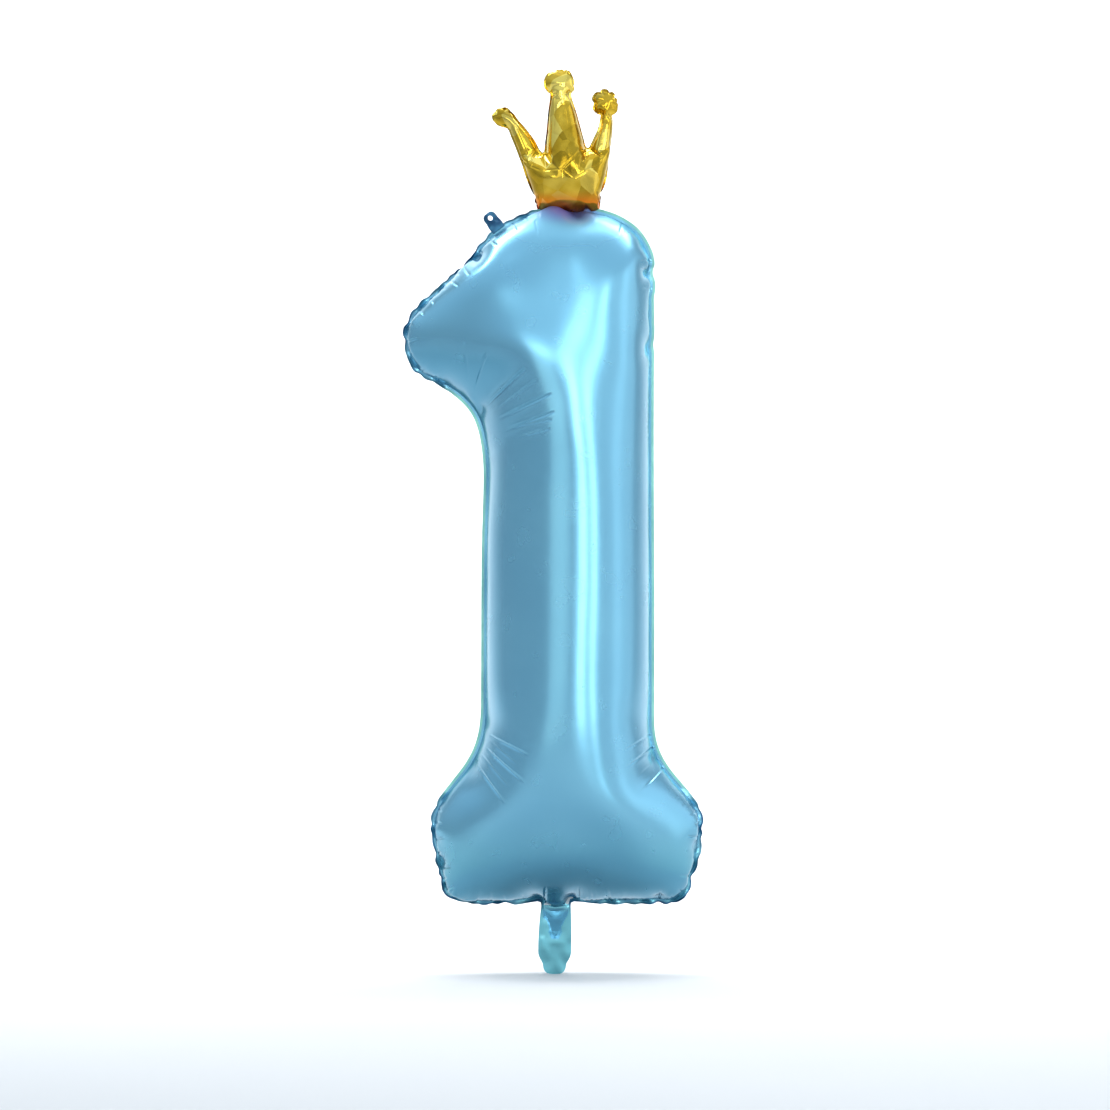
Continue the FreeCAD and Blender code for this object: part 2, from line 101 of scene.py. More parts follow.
CROWN = [
    (-27.0, 726.0), (-11.1, 722.3), (6.0, 722.1), (22.2, 724.1), (36.7, 728.9), (42.9, 738.1), (46.2, 747.0), (49.7, 756.9),
    (53.1, 767.2), (56.5, 778.5), (60.8, 792.0), (64.9, 800.4), (68.2, 806.5), (72.5, 815.3), (75.0, 821.8), (78.8, 822.9),
    (83.1, 825.6), (86.5, 830.7), (87.7, 838.7), (84.9, 846.2), (79.5, 850.8), (72.1, 851.9), (65.2, 848.0), (61.5, 842.2),
    (59.6, 835.9), (62.1, 831.6), (61.0, 827.9), (53.7, 818.9), (43.7, 810.6), (35.7, 804.2), (31.3, 805.6), (26.9, 815.1),
    (22.1, 825.7), (15.9, 839.6), (9.9, 852.4), (8.6, 858.5), (10.7, 862.8), (10.1, 868.6), (7.0, 875.8), (2.1, 881.2),
    (-6.8, 883.4), (-16.3, 879.3), (-21.2, 873.9), (-23.1, 867.1), (-22.4, 861.0), (-19.4, 857.8), (-19.7, 851.4),
    (-23.3, 836.7), (-26.5, 821.7), (-30.1, 807.1), (-32.3, 797.5), (-38.3, 797.1), (-48.9, 804.3), (-62.2, 811.3),
    (-72.1, 816.0), (-78.3, 819.6), (-84.9, 823.0), (-92.9, 821.0), (-97.6, 816.1), (-98.2, 809.3), (-93.6, 804.4),
    (-87.8, 802.6), (-82.7, 801.9), (-79.1, 800.2), (-74.0, 794.9), (-67.7, 788.4), (-61.8, 781.9), (-55.1, 772.8),
    (-49.7, 762.4), (-45.1, 753.7), (-39.7, 743.4), (-33.9, 733.2)]
CROWN_STANDS = [
    (-19.5, 728.7), (-1.7, 727.8), (15.5, 729.1), (33.2, 729.9), (39.0, 745.7), (44.3, 765.2), (49.1, 785.5), (51.2, 806.3),
    (51.2, 826.5), (60.8, 839.0), (46.6, 849.3), (37.7, 833.8), (40.7, 817.0), (32.0, 798.0), (21.4, 802.2), (15.6, 822.4),
    (9.1, 842.4), (11.7, 861.1), (-1.8, 872.4), (-15.5, 859.9), (-10.0, 842.2), (-13.4, 821.5), (-15.9, 800.7),
    (-23.7, 789.9), (-35.9, 806.5), (-50.3, 821.7), (-66.0, 829.1), (-65.7, 813.9), (-50.7, 803.0), (-42.6, 783.7),
    (-34.9, 764.1), (-26.2, 745.6)]
CROWN_DROP = 3.5

# the hang tab's fold line on the number's weld
TAB_AT = np.array([-64.482, 710.639])
TAB_ALONG = np.array([0.7998, 0.6003])
TAB_OUT = np.array([-0.6003, 0.7998])


# ---------------------------------------------------------------- plane curves
def resample(q, step, closed=True, count=None):
    q = np.asarray(q, float)
    if closed:
        q = np.vstack([q, q[:1]])
    seg = np.linalg.norm(np.diff(q, axis=0), axis=1)
    s = np.concatenate([[0], np.cumsum(seg)])
    m = count or max(3, int(round(s[-1] / step)))
    t = np.linspace(0, s[-1], m + (0 if closed else 1), endpoint=not closed)
    return np.column_stack([np.interp(t, s, q[:, k]) for k in range(2)])


def dense(ctrl, step, closed=True):
    """A Catmull-Rom curve through the points, in even steps."""
    p = np.asarray(ctrl, float)
    n = len(p)
    out = []
    for i in range(n if closed else n - 1):
        if closed:
            p0, p1, p2, p3 = p[(i - 1) % n], p[i], p[(i + 1) % n], p[(i + 2) % n]
        else:
            p0, p1, p2, p3 = p[max(i - 1, 0)], p[i], p[i + 1], p[min(i + 2, n - 1)]
        for t in np.linspace(0, 1, 12, endpoint=False):
            out.append(0.5 * ((2 * p1) + (-p0 + p2) * t + (2 * p0 - 5 * p1 + 4 * p2 - p3) * t * t
                              + (-p0 + 3 * p1 - 3 * p2 + p3) * t ** 3))
    if not closed:
        out.append(p[-1])
    return resample(np.array(out), step, closed)


def inside(poly, pts):
    x, y = pts[:, 0], pts[:, 1]
    c = np.zeros(len(pts), bool)
    for (x0, y0), (x1, y1) in zip(poly, np.roll(poly, -1, axis=0)):
        if y0 != y1:
            m = (y0 > y) != (y1 > y)
            c ^= m & (x < (x1 - x0) * (y - y0) / (y1 - y0) + x0)
    return c


def dist_to(poly, pts):
    a = np.asarray(poly)
    b = np.roll(a, -1, axis=0)
    d = np.empty(len(pts))
    for k in range(0, len(pts), 2000):
        p = pts[k:k + 2000, None, :]
        ab = (b - a)[None]
        t = np.clip(((p - a[None]) * ab).sum(2) / np.maximum((ab ** 2).sum(2), 1e-12), 0, 1)
        d[k:k + 2000] = np.sqrt(((p - a[None] - t[..., None] * ab) ** 2).sum(2)).min(1)
    return d


def lattice(lo, hi, h, seed, jitter):
    rng = np.random.RandomState(seed)
    dy = h * math.sqrt(3) / 2
    ny, nx = int((hi[1] - lo[1]) / dy) + 2, int((hi[0] - lo[0]) / h) + 2
    j, i = np.meshgrid(np.arange(ny), np.arange(nx), indexing="ij")
    pts = np.column_stack([(lo[0] + (i + 0.5 * (j % 2)) * h).ravel(), (lo[1] + j * dy).ravel()])
    return pts + rng.uniform(-jitter * h, jitter * h, pts.shape)


def triangulate(points, loops):
    edges = []
    for ids in loops:
        edges += [(ids[k], ids[(k + 1) % len(ids)]) for k in range(len(ids))]
    res = delaunay_2d_cdt([Vector(p) for p in points], edges, [], 0, 1e-7)
    v = np.array([tuple(x) for x in res[0]])
    f = np.array([x for x in res[2] if len(x) == 3])
    new = -np.ones(len(points), int)
    for i, o in enumerate(res[3]):
        for k in o:
            new[k] = i
    a2 = ((v[f[:, 1], 0] - v[f[:, 0], 0]) * (v[f[:, 2], 1] - v[f[:, 0], 1])
          - (v[f[:, 2], 0] - v[f[:, 0], 0]) * (v[f[:, 1], 1] - v[f[:, 0], 1]))
    f = np.where((a2 < 0)[:, None], f[:, ::-1], f)[np.abs(a2) > 1e-6]
    return v, f, new


def mesh_pattern(weld, cut, h, jitter=0.12, seed=3):
    """Flat film: triangles inside the weld line and triangles between it and the cut line."""
    outer = weld if cut is None else cut
    lat = lattice(outer.min(0) - h, outer.max(0) + h, h, seed, jitter)
    keep = inside(outer, lat) & (dist_to(weld, lat) > 0.62 * h)
    if cut is not None:
        keep &= dist_to(cut, lat) > 0.62 * h
    nw = len(weld)
    loops = [list(range(nw))]
    parts = [weld]
    if cut is not None:
        loops.append(list(range(nw, nw + len(cut))))
        parts.append(cut)
    v, f, new = triangulate(np.vstack(parts + [lat[keep]]), loops)
    c = v[f].mean(1)
    inw, ino = inside(weld, c), inside(outer, c)
    return v, f[inw], f[ino & ~inw], new[:nw]


def two_layers(v2, fin, fout, weld_ids, y0=0.3, seed=5):
    """A front and a back layer that share the weld line and the sealed margin."""
    n = len(v2)
    on_weld = np.zeros(n, bool)
    on_weld[weld_ids] = True
    used = np.zeros(n, bool)
    used[fin.ravel()] = True
    interior = used & ~on_weld
    m = int(interior.sum())
    back = np.arange(n)
    back[interior] = n + np.arange(m)
    x = np.zeros((n + m, 3))
    x[:n, 0], x[:n, 2] = v2[:, 0], v2[:, 1]
    x[n:, 0], x[n:, 2] = v2[interior, 0], v2[interior, 1]
    rng = np.random.RandomState(seed)
    x[np.where(interior)[0], 1] = -y0 * (0.6 + 0.8 * rng.rand(m))
    x[n:, 1] = y0 * (0.6 + 0.8 * rng.rand(m))
    return x, np.vstack([fin, back[fin][:, ::-1], fout]), interior, back


# ---------------------------------------------------------------- inflation
def evaluated(ob):
    e = ob.evaluated_get(bpy.context.evaluated_depsgraph_get())
    m = e.to_mesh()
    co = np.empty(len(m.vertices) * 3, np.float32)
    m.vertices.foreach_get("co", co)
    e.to_mesh_clear()
    return co.reshape(-1, 3).astype(float)


def inflate(x, faces, frames, mass, no_press=None, pin=None, start=None, ramp=0):
    """Blows the welded film up: x is the flat film, which keeps its lengths, and start is where it begins."""
    me = bpy.data.meshes.new("film_sim")
    me.vertices.add(len(x))
    me.vertices.foreach_set("co", ((x if start is None else start) * MM).astype(np.float32).ravel())
    me.loops.add(faces.size)
    me.loops.foreach_set("vertex_index", faces.astype(np.int32).ravel())
    me.polygons.add(len(faces))
    me.polygons.foreach_set("loop_start", np.arange(0, faces.size, 3, dtype=np.int32))
    me.update(calc_edges=True)
    ob = bpy.data.objects.new("film_sim", me)
    scene = bpy.context.scene
    scene.collection.objects.link(ob)
    md = ob.modifiers.new("film", 'CLOTH')
    s = md.settings
    keys = None
    if start is not None:
        ob.shape_key_add(name="Basis")
        key = ob.shape_key_add(name="flat")
        key.data.foreach_set("co", (x * MM).astype(np.float32).ravel())
        keys = me.shape_keys
        s.use_dynamic_mesh = True
        key.value = 0
        key.keyframe_insert("value", frame=1)
        key.value = 1
        key.keyframe_insert("value", frame=2 + ramp)
    s.quality = 5
    s.mass = mass
    s.air_damping = 1.0
    s.bending_model = 'ANGULAR'
    s.tension_stiffness, s.compression_stiffness, s.shear_stiffness, s.bending_stiffness = 20, 1.5, 0.5, 0.001
    s.tension_damping = s.compression_damping = s.shear_damping = 5
    s.bending_damping = 0.1
    s.use_pressure = True
    s.uniform_pressure_force = 40
    s.effector_weights.gravity = 0
    s.effector_weights.all = 0
    md.collision_settings.use_collision = False
    md.collision_settings.use_self_collision = False
    if no_press is not None:
        g = ob.vertex_groups.new(name="press")
        g.add(np.where(~no_press)[0].tolist(), 1.0, 'REPLACE')
        s.vertex_group_pressure = "press"
    if pin is not None:
        g = ob.vertex_groups.new(name="pin")
        g.add(np.where(pin)[0].tolist(), 1.0, 'REPLACE')
        s.vertex_group_mass = "pin"
    md.point_cache.frame_start, md.point_cache.frame_end = 1, frames + 1
    old = scene.frame_start, scene.frame_end
    scene.frame_start, scene.frame_end = 1, frames + 1
    for f in range(1, frames + 2):
        scene.frame_set(f)
    c = evaluated(ob) / MM
    action = keys.animation_data.action if keys is not None and keys.animation_data else None
    bpy.data.objects.remove(ob)
    bpy.data.meshes.remove(me)
    if action is not None:
        bpy.data.actions.remove(action)
    scene.frame_start, scene.frame_end = old
    scene.frame_set(1)
    return c


def at_fractions(line, count, closed):
    n = len(line)
    f = np.arange(count) / count * n if closed else np.linspace(0, n - 1, count)
    p = np.vstack([line, line[:1]]) if closed else line
    return np.column_stack([np.interp(f, np.arange(len(p)), p[:, k]) for k in range(3)])


def settle(c, line_ids, stands, closed):
    """Turns and moves the blown-up film, unbent, so that its weld line stands where it should."""
    stands = np.array(stands)
    a = at_fractions(c[line_ids], len(stands), closed)
    b = np.column_stack([stands[:, 0], np.zeros(len(stands)), stands[:, 1]])
    ca, cb = a.mean(0), b.mean(0)
    u, _, vt = np.linalg.svd((a - ca).T @ (b - cb))
    d = np.sign(np.linalg.det(vt.T @ u.T))
    r = vt.T @ np.diag([1, 1, d]) @ u.T
    return (c - ca) @ r.T + cb


def nearest_on(line, pts):
    """Nearest points of an open polyline."""
    a, b = line[:-1], line[1:]
    ab = b - a
    out = np.empty_like(pts)
    for k, p in enumerate(pts):
        t = np.clip(((p - a) * ab).sum(1) / np.maximum((ab ** 2).sum(1), 1e-12), 0, 1)
        q = a + t[:, None] * ab
        out[k] = q[((q - p) ** 2).sum(1).argmin()]
    return out


def smooth_line(a, k):
    w = np.ones(2 * k + 1) / (2 * k + 1)
    p = np.concatenate([np.repeat(a[:1], k, 0), a, np.repeat(a[-1:], k, 0)])
    return np.column_stack([np.convolve(p[:, i], w, 'valid') for i in range(a.shape[1])])


def stand_on(c, flat, line_ids, outline, h, reach=45.0):
    """Eases the blown-up film, a few millimetres at most, so that its weld line follows the outline."""
    ends = dense(outline, 2.0, closed=False)
    fl = flat[line_ids]
    for _ in range(3):
        w = c[line_ids][:, [0, 2]]
        k = max(1, int(round(9 / h)))
        ws = smooth_line(w, k)
        d = smooth_line(nearest_on(ends, ws) - ws, k)
        for a in range(0, len(c), 4000):
            q = flat[a:a + 4000]
            g = np.exp(-((q[:, None, :] - fl[None]) ** 2).sum(2) / (2 * (0.5 * reach) ** 2)) + 1e-9
            near = np.exp(-dist_open(fl, q) ** 2 / (2 * reach ** 2))
            g2 = np.exp(-((q[:, None, :] - fl[None]) ** 2).sum(2) / (2 * 9.0 ** 2))
            tight = g2.sum(1)
            m = (g @ d) / g.sum(1)[:, None]
            m2 = (g2 @ d) / np.maximum(tight, 1e-9)[:, None]
            t = np.clip(tight / 1.0, 0, 1)[:, None] * np.exp(-dist_open(fl, q) ** 2 / (2 * 14.0 ** 2))[:, None]
            mm = (m * (1 - t) + m2 * t) * near[:, None]
            c[a:a + 4000, 0] += mm[:, 0]
            c[a:a + 4000, 2] += mm[:, 1]
    w = c[line_ids].copy()
    d = (smooth_line(smooth_line(w, k), k) - w) * 0.70
    for a in range(0, len(c), 4000):
        q = flat[a:a + 4000]
        g2 = np.exp(-((q[:, None, :] - fl[None]) ** 2).sum(2) / (2 * 4.5 ** 2))
        g2 = g2 / np.maximum(g2.sum(1), 1.0)[:, None]
        c[a:a + 4000] += (g2 @ d) * np.exp(-dist_open(fl, q) ** 2 / (2 * 11.0 ** 2))[:, None]
    c[line_ids] = w + d
    return c


def dist_open(line, pts):
    return np.sqrt(((pts[:, None, :] - line[None]) ** 2).sum(2).min(1))


def margin_out(c, v2, fout, wid, dark, flange_from):
    """Lays the sealed margin outside the weld: flat and smooth along straight runs, in short lobes where the weld has gathered."""
    n = len(wid)
    p2, p3 = v2[wid], c[wid]
    seg = np.linalg.norm(np.roll(p2, -1, 0) - p2, axis=1)
    s = np.concatenate([[0], np.cumsum(seg)[:-1]])
    t2 = np.roll(p2, -1, 0) - np.roll(p2, 1, 0)
    q = p3[:, [0, 2]].copy()
    for _ in range(4):
        q = (np.roll(q, 1, 0) + 2 * q + np.roll(q, -1, 0)) / 4
    t3 = np.roll(q, -1, 0) - np.roll(q, 1, 0)
    u2, u3 = t2 / np.linalg.norm(t2, axis=1)[:, None], t3 / np.linalg.norm(t3, axis=1)[:, None]
    n2 = np.column_stack([u2[:, 1], -u2[:, 0]])
    n3 = np.column_stack([u3[:, 1], -u3[:, 0]])
    pitch = 17.5 + 3.5 * np.sin(s / 61.0) + 3.0 * np.sin(s / 23.0 + 1.0)
    ph = np.cumsum(seg / pitch)
    swing = np.sin(2 * np.pi * ph * 0.5 + 0.7 * np.sin(s / 37.0))
    quiet = 1 - np.exp(-((q - (TAB_AT - TAB_OUT * 5)) ** 2).sum(1) / 14.0 ** 2)
    phi = quiet * (dark * 0.75 * swing + 0.05 * np.sin(s / 17.0))
    notch = 1 - 0.62 * dark * np.abs(np.cos(np.pi * ph)) ** 9
    on = np.zeros(len(c), bool)
    on[wid] = True
    ids = np.unique(fout.ravel())
    ids = ids[~on[ids]]
    ids = ids[flange_from(v2[ids])]
    for i in ids:
        j = int(((p2 - v2[i]) ** 2).sum(1).argmin())
        d = v2[i] - p2[j]
        o, al = float(d @ n2[j]), float(d @ u2[j])
        o *= notch[j]
        c[i, 0] = p3[j, 0] + n3[j, 0] * o * math.cos(phi[j]) + u3[j, 0] * al * 0.9
        c[i, 2] = p3[j, 2] + n3[j, 1] * o * math.cos(phi[j]) + u3[j, 1] * al * 0.9
        c[i, 1] = p3[j, 1] + o * math.sin(phi[j])
    puckers = []
    whole = np.round(ph)
    for w in np.unique(whole):
        j = int(np.abs(ph - w).argmin())
        if dark[j] > 0.2 and quiet[j] > 0.5 and not (abs(p2[j, 0]) < HALF + 8 and p2[j, 1] < 20):
            a, b = q[j] + n3[j] * 1.0, q[j] - n3[j] * (8 + 5 * math.sin(3.7 * w)) + u3[j] * 2.0 * math.sin(5.1 * w)
            puckers.append((float(a[0]), float(a[1]), float(b[0]), float(b[1]), 0.55 * float(dark[j])))
    return c, puckers


def carry(v2c, fc, xc, backc, p2):
    """Front and back positions of flat points p2 on an already blown-up coarser film."""
    tri = v2c[fc]
    cen = tri.mean(1)
    kd = KDTree(len(cen))
    for i, c in enumerate(cen):
        kd.insert((c[0], c[1], 0), i)
    kd.balance()
    front, rear = np.zeros((len(p2), 3)), np.zeros((len(p2), 3))
    for i, p in enumerate(p2):
        best = None
        for _, k, _ in kd.find_n((p[0], p[1], 0), 10):
            a, b, c = tri[k]
            e1, e2, q = b - a, c - a, p - a
            det = e1[0] * e2[1] - e2[0] * e1[1]
            u = (q[0] * e2[1] - q[1] * e2[0]) / det
            v = (e1[0] * q[1] - e1[1] * q[0]) / det
            w = 1 - u - v
            e = -min(u, v, w, 0)
            if best is None or e < best[0]:
                best = (e, k, w, u, v)
            if e < 1e-6:
                break
        _, k, w, u, v = best
        f, g = fc[k], backc[fc[k]]
        front[i] = w * xc[f[0]] + u * xc[f[1]] + v * xc[f[2]]
        rear[i] = w * xc[g[0]] + u * xc[g[1]] + v * xc[g[2]]
    return front, rear


def poisson(v2, fin, wid):
    """u with laplace(u) = -1 between the weld lines, 0 on them."""
    n = len(v2)
    a, b, c = v2[fin[:, 0]], v2[fin[:, 1]], v2[fin[:, 2]]

    def cot(p, q, r):
        u, v = q - p, r - p
        return (u * v).sum(1) / np.abs(u[:, 0] * v[:, 1] - u[:, 1] * v[:, 0])
    i = np.concatenate([fin[:, 1], fin[:, 2], fin[:, 0]])
    j = np.concatenate([fin[:, 2], fin[:, 0], fin[:, 1]])
    w = 0.5 * np.concatenate([cot(a, b, c), cot(b, c, a), cot(c, a, b)])
    area = 0.5 * np.abs((b - a)[:, 0] * (c - a)[:, 1] - (b - a)[:, 1] * (c - a)[:, 0])
    load = np.zeros(n)
    for k in range(3):
        np.add.at(load, fin[:, k], area / 3)
    free = np.zeros(n, bool)
    free[fin.ravel()] = True
    free[wid] = False

    def mul(x):
        y = np.zeros(n)
        d = w * (x[i] - x[j])
        np.add.at(y, i, d)
        np.add.at(y, j, -d)
        return np.where(free, y, 0)
    diag = np.zeros(n)
    np.add.at(diag, i, w)
    np.add.at(diag, j, w)
    diag[~free] = 1
    x = np.zeros(n)
    r = np.where(free, load, 0)
    z = r / diag
    p = z.copy()
    rz = r @ z
    for _ in range(600):
        ap = mul(p)
        al = rz / (p @ ap)
        x += al * p
        r -= al * ap
        if np.abs(r).max() < 1e-6 * load.max():
            break
        z = r / diag
        new = r @ z
        p = z + new / rz * p
        rz = new
    return np.maximum(x, 0)


def run_out(v2, s, wid, used_in):
    """Start places of the sealed margin: the flat offset, carried on from the nearest point of the weld."""
    t2 = np.roll(v2[wid], -1, 0) - np.roll(v2[wid], 1, 0)
    t3 = np.roll(s[wid], -1, 0) - np.roll(s[wid], 1, 0)
    t3[:, 1] = 0
    for _ in range(3):
        t3 = (np.roll(t3, 1, 0) + t3 + np.roll(t3, -1, 0)) / 3
    u2, u3 = (t / np.linalg.norm(t, axis=1)[:, None] for t in (t2, t3))
    n2 = np.column_stack([u2[:, 1], -u2[:, 0]])
    n3 = np.column_stack([u3[:, 2], u3[:, 0] * 0, -u3[:, 0]])
    for i in np.where(~used_in)[0]:
        j = ((v2[wid] - v2[i]) ** 2).sum(1).argmin()
        d = v2[i] - v2[wid[j]]
        s[i] = s[wid[j]] + n3[j] * (d @ n2[j]) + u3[j] * (d @ u2[j])


# ---------------------------------------------------------------- film to mesh
def loop_divide(v, f, sharp, attrs):
    """One Loop subdivision. sharp is a set of vertex pairs that stay creased; attrs are averaged along."""
    n = len(v)
    side = np.sort(np.vstack([f[:, [0, 1]], f[:, [1, 2]], f[:, [2, 0]]]), axis=1)
    e, inv, cnt = np.unique(side, axis=0, return_inverse=True, return_counts=True)
    inv = inv.ravel()
    opp = np.concatenate([f[:, 2], f[:, 0], f[:, 1]])
    osum = np.zeros((len(e), 3))
    np.add.at(osum, inv, v[opp])
    hard = cnt != 2
    if sharp is not None and len(sharp):
        key = e[:, 0].astype(np.int64) * (n + 1) + e[:, 1]
        sh = np.sort(np.asarray(sharp), axis=1)
        hard |= np.isin(key, sh[:, 0].astype(np.int64) * (n + 1) + sh[:, 1])
    mid = 0.5 * (v[e[:, 0]] + v[e[:, 1]])
    ev = np.where(hard[:, None], mid, 0.75 * mid + 0.125 * osum)
    val = np.zeros(n)
    nb = np.zeros((n, 3))
    for a, b in ((0, 1), (1, 0)):
        np.add.at(val, e[:, a], 1)
        np.add.at(nb, e[:, a], v[e[:, b]])
    hval = np.zeros(n)
    hnb = np.zeros((n, 3))
    he = e[hard]
    for a, b in ((0, 1), (1, 0)):
        np.add.at(hval, he[:, a], 1)
        np.add.at(hnb, he[:, a], v[he[:, b]])
    beta = np.where(val > 3, 3.0 / (8.0 * np.maximum(val, 1)), 3.0 / 16.0)
    out = (1 - val * beta)[:, None] * v + beta[:, None] * nb
    two = hval == 2
    out[two] = 0.75 * v[two] + 0.125 * hnb[two]
    out[(hval > 2) | (hval == 1)] = v[(hval > 2) | (hval == 1)]
    m = len(f)
    e01, e12, e20 = n + inv[:m], n + inv[m:2 * m], n + inv[2 * m:]
    f2 = np.vstack([np.column_stack([f[:, 0], e01, e20]), np.column_stack([e01, f[:, 1], e12]),
                    np.column_stack([e20, e12, f[:, 2]]), np.column_stack([e01, e12, e20])])
    attrs2 = {k: np.concatenate([a, 0.5 * (a[e[:, 0]] + a[e[:, 1]])]) for k, a in attrs.items()}
    sharp2 = None
    if sharp is not None and len(sharp):
        idx = np.searchsorted(key, sh[:, 0].astype(np.int64) * (n + 1) + sh[:, 1])
        sharp2 = np.vstack([np.column_stack([sh[:, 0], n + idx]), np.column_stack([n + idx, sh[:, 1]])])
    return np.vstack([out, ev]), f2, sharp2, attrs2


def normals_of(v, f):
    fn = np.cross(v[f[:, 1]] - v[f[:, 0]], v[f[:, 2]] - v[f[:, 0]])
    n = np.zeros_like(v)
    for k in range(3):
        np.add.at(n, f[:, k], fn)
    return n / np.maximum(np.linalg.norm(n, axis=1), 1e-12)[:, None]


def relax(v, f, hold, times, lam=0.5, mu=-0.52):
    """Takes single-triangle noise out of a film without shrinking it."""
    e = np.unique(np.sort(np.vstack([f[:, [0, 1]], f[:, [1, 2]], f[:, [2, 0]]]), axis=1), axis=0)
    cnt = np.zeros(len(v))
    for a in (0, 1):
        np.add.at(cnt, e[:, a], 1)
    for k in range(times * 2):
        s = np.zeros_like(v)
        np.add.at(s, e[:, 0], v[e[:, 1]])
        np.add.at(s, e[:, 1], v[e[:, 0]])
        d = s / np.maximum(cnt, 1)[:, None] - v
        d[hold] = 0
        v = v + (lam if k % 2 == 0 else mu) * d
    return v


def iron(v, f, hold, dist, how):
    """Presses out the broad buckles away from the weld, where full pressure would; how is (from, to, times)."""
    if how is None:
        return v
    near, far, times = how
    w = smooth(near, far, dist)
    w[hold] = 0
    e = np.unique(np.sort(np.vstack([f[:, [0, 1]], f[:, [1, 2]], f[:, [2, 0]]]), axis=1), axis=0)
    both = np.vstack([e, e[:, ::-1]])
    both = both[np.argsort(both[:, 0], kind="stable")]
    cnt = np.bincount(both[:, 0], minlength=len(v))
    first = np.concatenate([[0], np.cumsum(cnt)[:-1]])
    nb = np.tile(np.arange(len(v))[:, None], (1, cnt.max()))
    nb[both[:, 0], np.arange(len(both)) - first[both[:, 0]]] = both[:, 1]
    pad = (cnt.max() - cnt)[:, None]
    cnt = np.maximum(cnt, 1)[:, None]
    for k in range(times * 2):
        mean = (v[nb].sum(1) - pad * v) / cnt
        v = v + ((0.6 if k % 2 == 0 else -0.608) * w)[:, None] * (mean - v)
    return v


def fair(v, f, hold, dist, near, far, times):
    """Evens out the small dimples left at irregular corners of the mesh, with weights from the triangle angles."""
    w = smooth(near, far, dist)
    w[hold] = 0
    rows, cols, wts = [], [], []
    for k in range(3):
        a, b, c = f[:, k], f[:, (k + 1) % 3], f[:, (k + 2) % 3]
        p, q = v[a] - v[c], v[b] - v[c]
        ct = (p * q).sum(1) / np.maximum(np.linalg.norm(np.cross(p, q), axis=1), 1e-9)
        ct = np.clip(ct, 0.05, 5.0)
        rows += [a, b]
        cols += [b, a]
        wts += [ct, ct]
    rows, cols, wts = np.concatenate(rows), np.concatenate(cols), np.concatenate(wts)
    total = np.maximum(np.bincount(rows, wts, len(v)), 1e-9)
    for k in range(times * 2):
        mean = np.column_stack([np.bincount(rows, wts * v[cols, i], len(v)) for i in range(3)]) / total[:, None]
        v = v + ((0.6 if k % 2 == 0 else -0.608) * w)[:, None] * (mean - v)
    return v


def split_near(v, f, attrs, mark):
    """Halves the edges whose two ends are marked, and divides the triangles on them to suit."""
    n = len(v)
    side = np.sort(np.vstack([f[:, [0, 1]], f[:, [1, 2]], f[:, [2, 0]]]), axis=1)
    e, inv = np.unique(side, axis=0, return_inverse=True)
    inv = inv.ravel()
    cut = mark[e[:, 0]] & mark[e[:, 1]]
    new = np.where(cut, n + np.cumsum(cut) - 1, -1)
    m = len(f)
    fe = np.column_stack([new[inv[:m]], new[inv[m:2 * m]], new[inv[2 * m:]]])
    k = (fe >= 0).sum(1)
    out = [f[k == 0]]
    q, h = f[k == 3], fe[k == 3]
    if len(q):
        out += [np.column_stack([q[:, 0], h[:, 0], h[:, 2]]), np.column_stack([h[:, 0], q[:, 1], h[:, 1]]),
                np.column_stack([h[:, 2], h[:, 1], q[:, 2]]), h]
    for want in (1, 2):
        q, h = f[k == want].copy(), fe[k == want].copy()
        for r in range(3):
            # turn each triangle until side 0 is the cut one (want 1) or side 2 the whole one (want 2)
            bad = (h[:, 0] < 0) if want == 1 else (h[:, 2] >= 0)
            q[bad] = np.roll(q[bad], -1, axis=1)
            h[bad] = np.roll(h[bad], -1, axis=1)
        if not len(q):
            continue
        if want == 1:
            out += [np.column_stack([q[:, 0], h[:, 0], q[:, 2]]), np.column_stack([h[:, 0], q[:, 1], q[:, 2]])]
        else:
            out += [np.column_stack([h[:, 0], q[:, 1], h[:, 1]]), np.column_stack([q[:, 0], h[:, 0], h[:, 1]]),
                    np.column_stack([q[:, 0], h[:, 1], q[:, 2]])]
    e = e[cut]
    v2 = np.vstack([v, 0.5 * (v[e[:, 0]] + v[e[:, 1]])])
    return v2, np.vstack(out), {a: np.concatenate([x, 0.5 * (x[e[:, 0]] + x[e[:, 1]])]) for a, x in attrs.items()}


def line_off(p, a, b):
    """Distance of points p from the segment a to b, and how far along it they are."""
    ab = b - a
    t = np.clip(((p - a) @ ab) / (ab @ ab), 0, 1)
    return np.sqrt(((p - a - t[:, None] * ab) ** 2).sum(1)), t


def crease(v, f, attrs, lines, passes=2, wide=1.0):
    """Presses thin folds into the film: each line is (x0, z0, x1, z1, depth), seen from the front, deepest at its start."""
    for k in range(passes):
        p = v[:, [0, 2]]
        mark = np.zeros(len(v), bool)
        for x0, z0, x1, z1, dep in lines:
            d, _ = line_off(p, np.array([x0, z0]), np.array([x1, z1]))
            mark |= d < (6.0 if k == 0 else 4.0) * wide
        v, f, attrs = split_near(v, f, attrs, mark & (attrs["seal"] < 0.5))
    p = v[:, [0, 2]]
    n = normals_of(v, f)
    amount = np.zeros(len(v))
    for x0, z0, x1, z1, dep in lines:
        d, t = line_off(p, np.array([x0, z0]), np.array([x1, z1]))
        fade = smooth(0, 0.10, t) * (1 - smooth(0.55, 1.0, t))
        d = d / wide
        amount += dep * fade * (-np.exp(-(d / 1.0) ** 2) + 0.18 * np.exp(-((d - 2.6) / 1.4) ** 2))
    free = 1 - smooth(0.0, 0.6, attrs["seal"])
    return v + n * (amount * free)[:, None], f, attrs


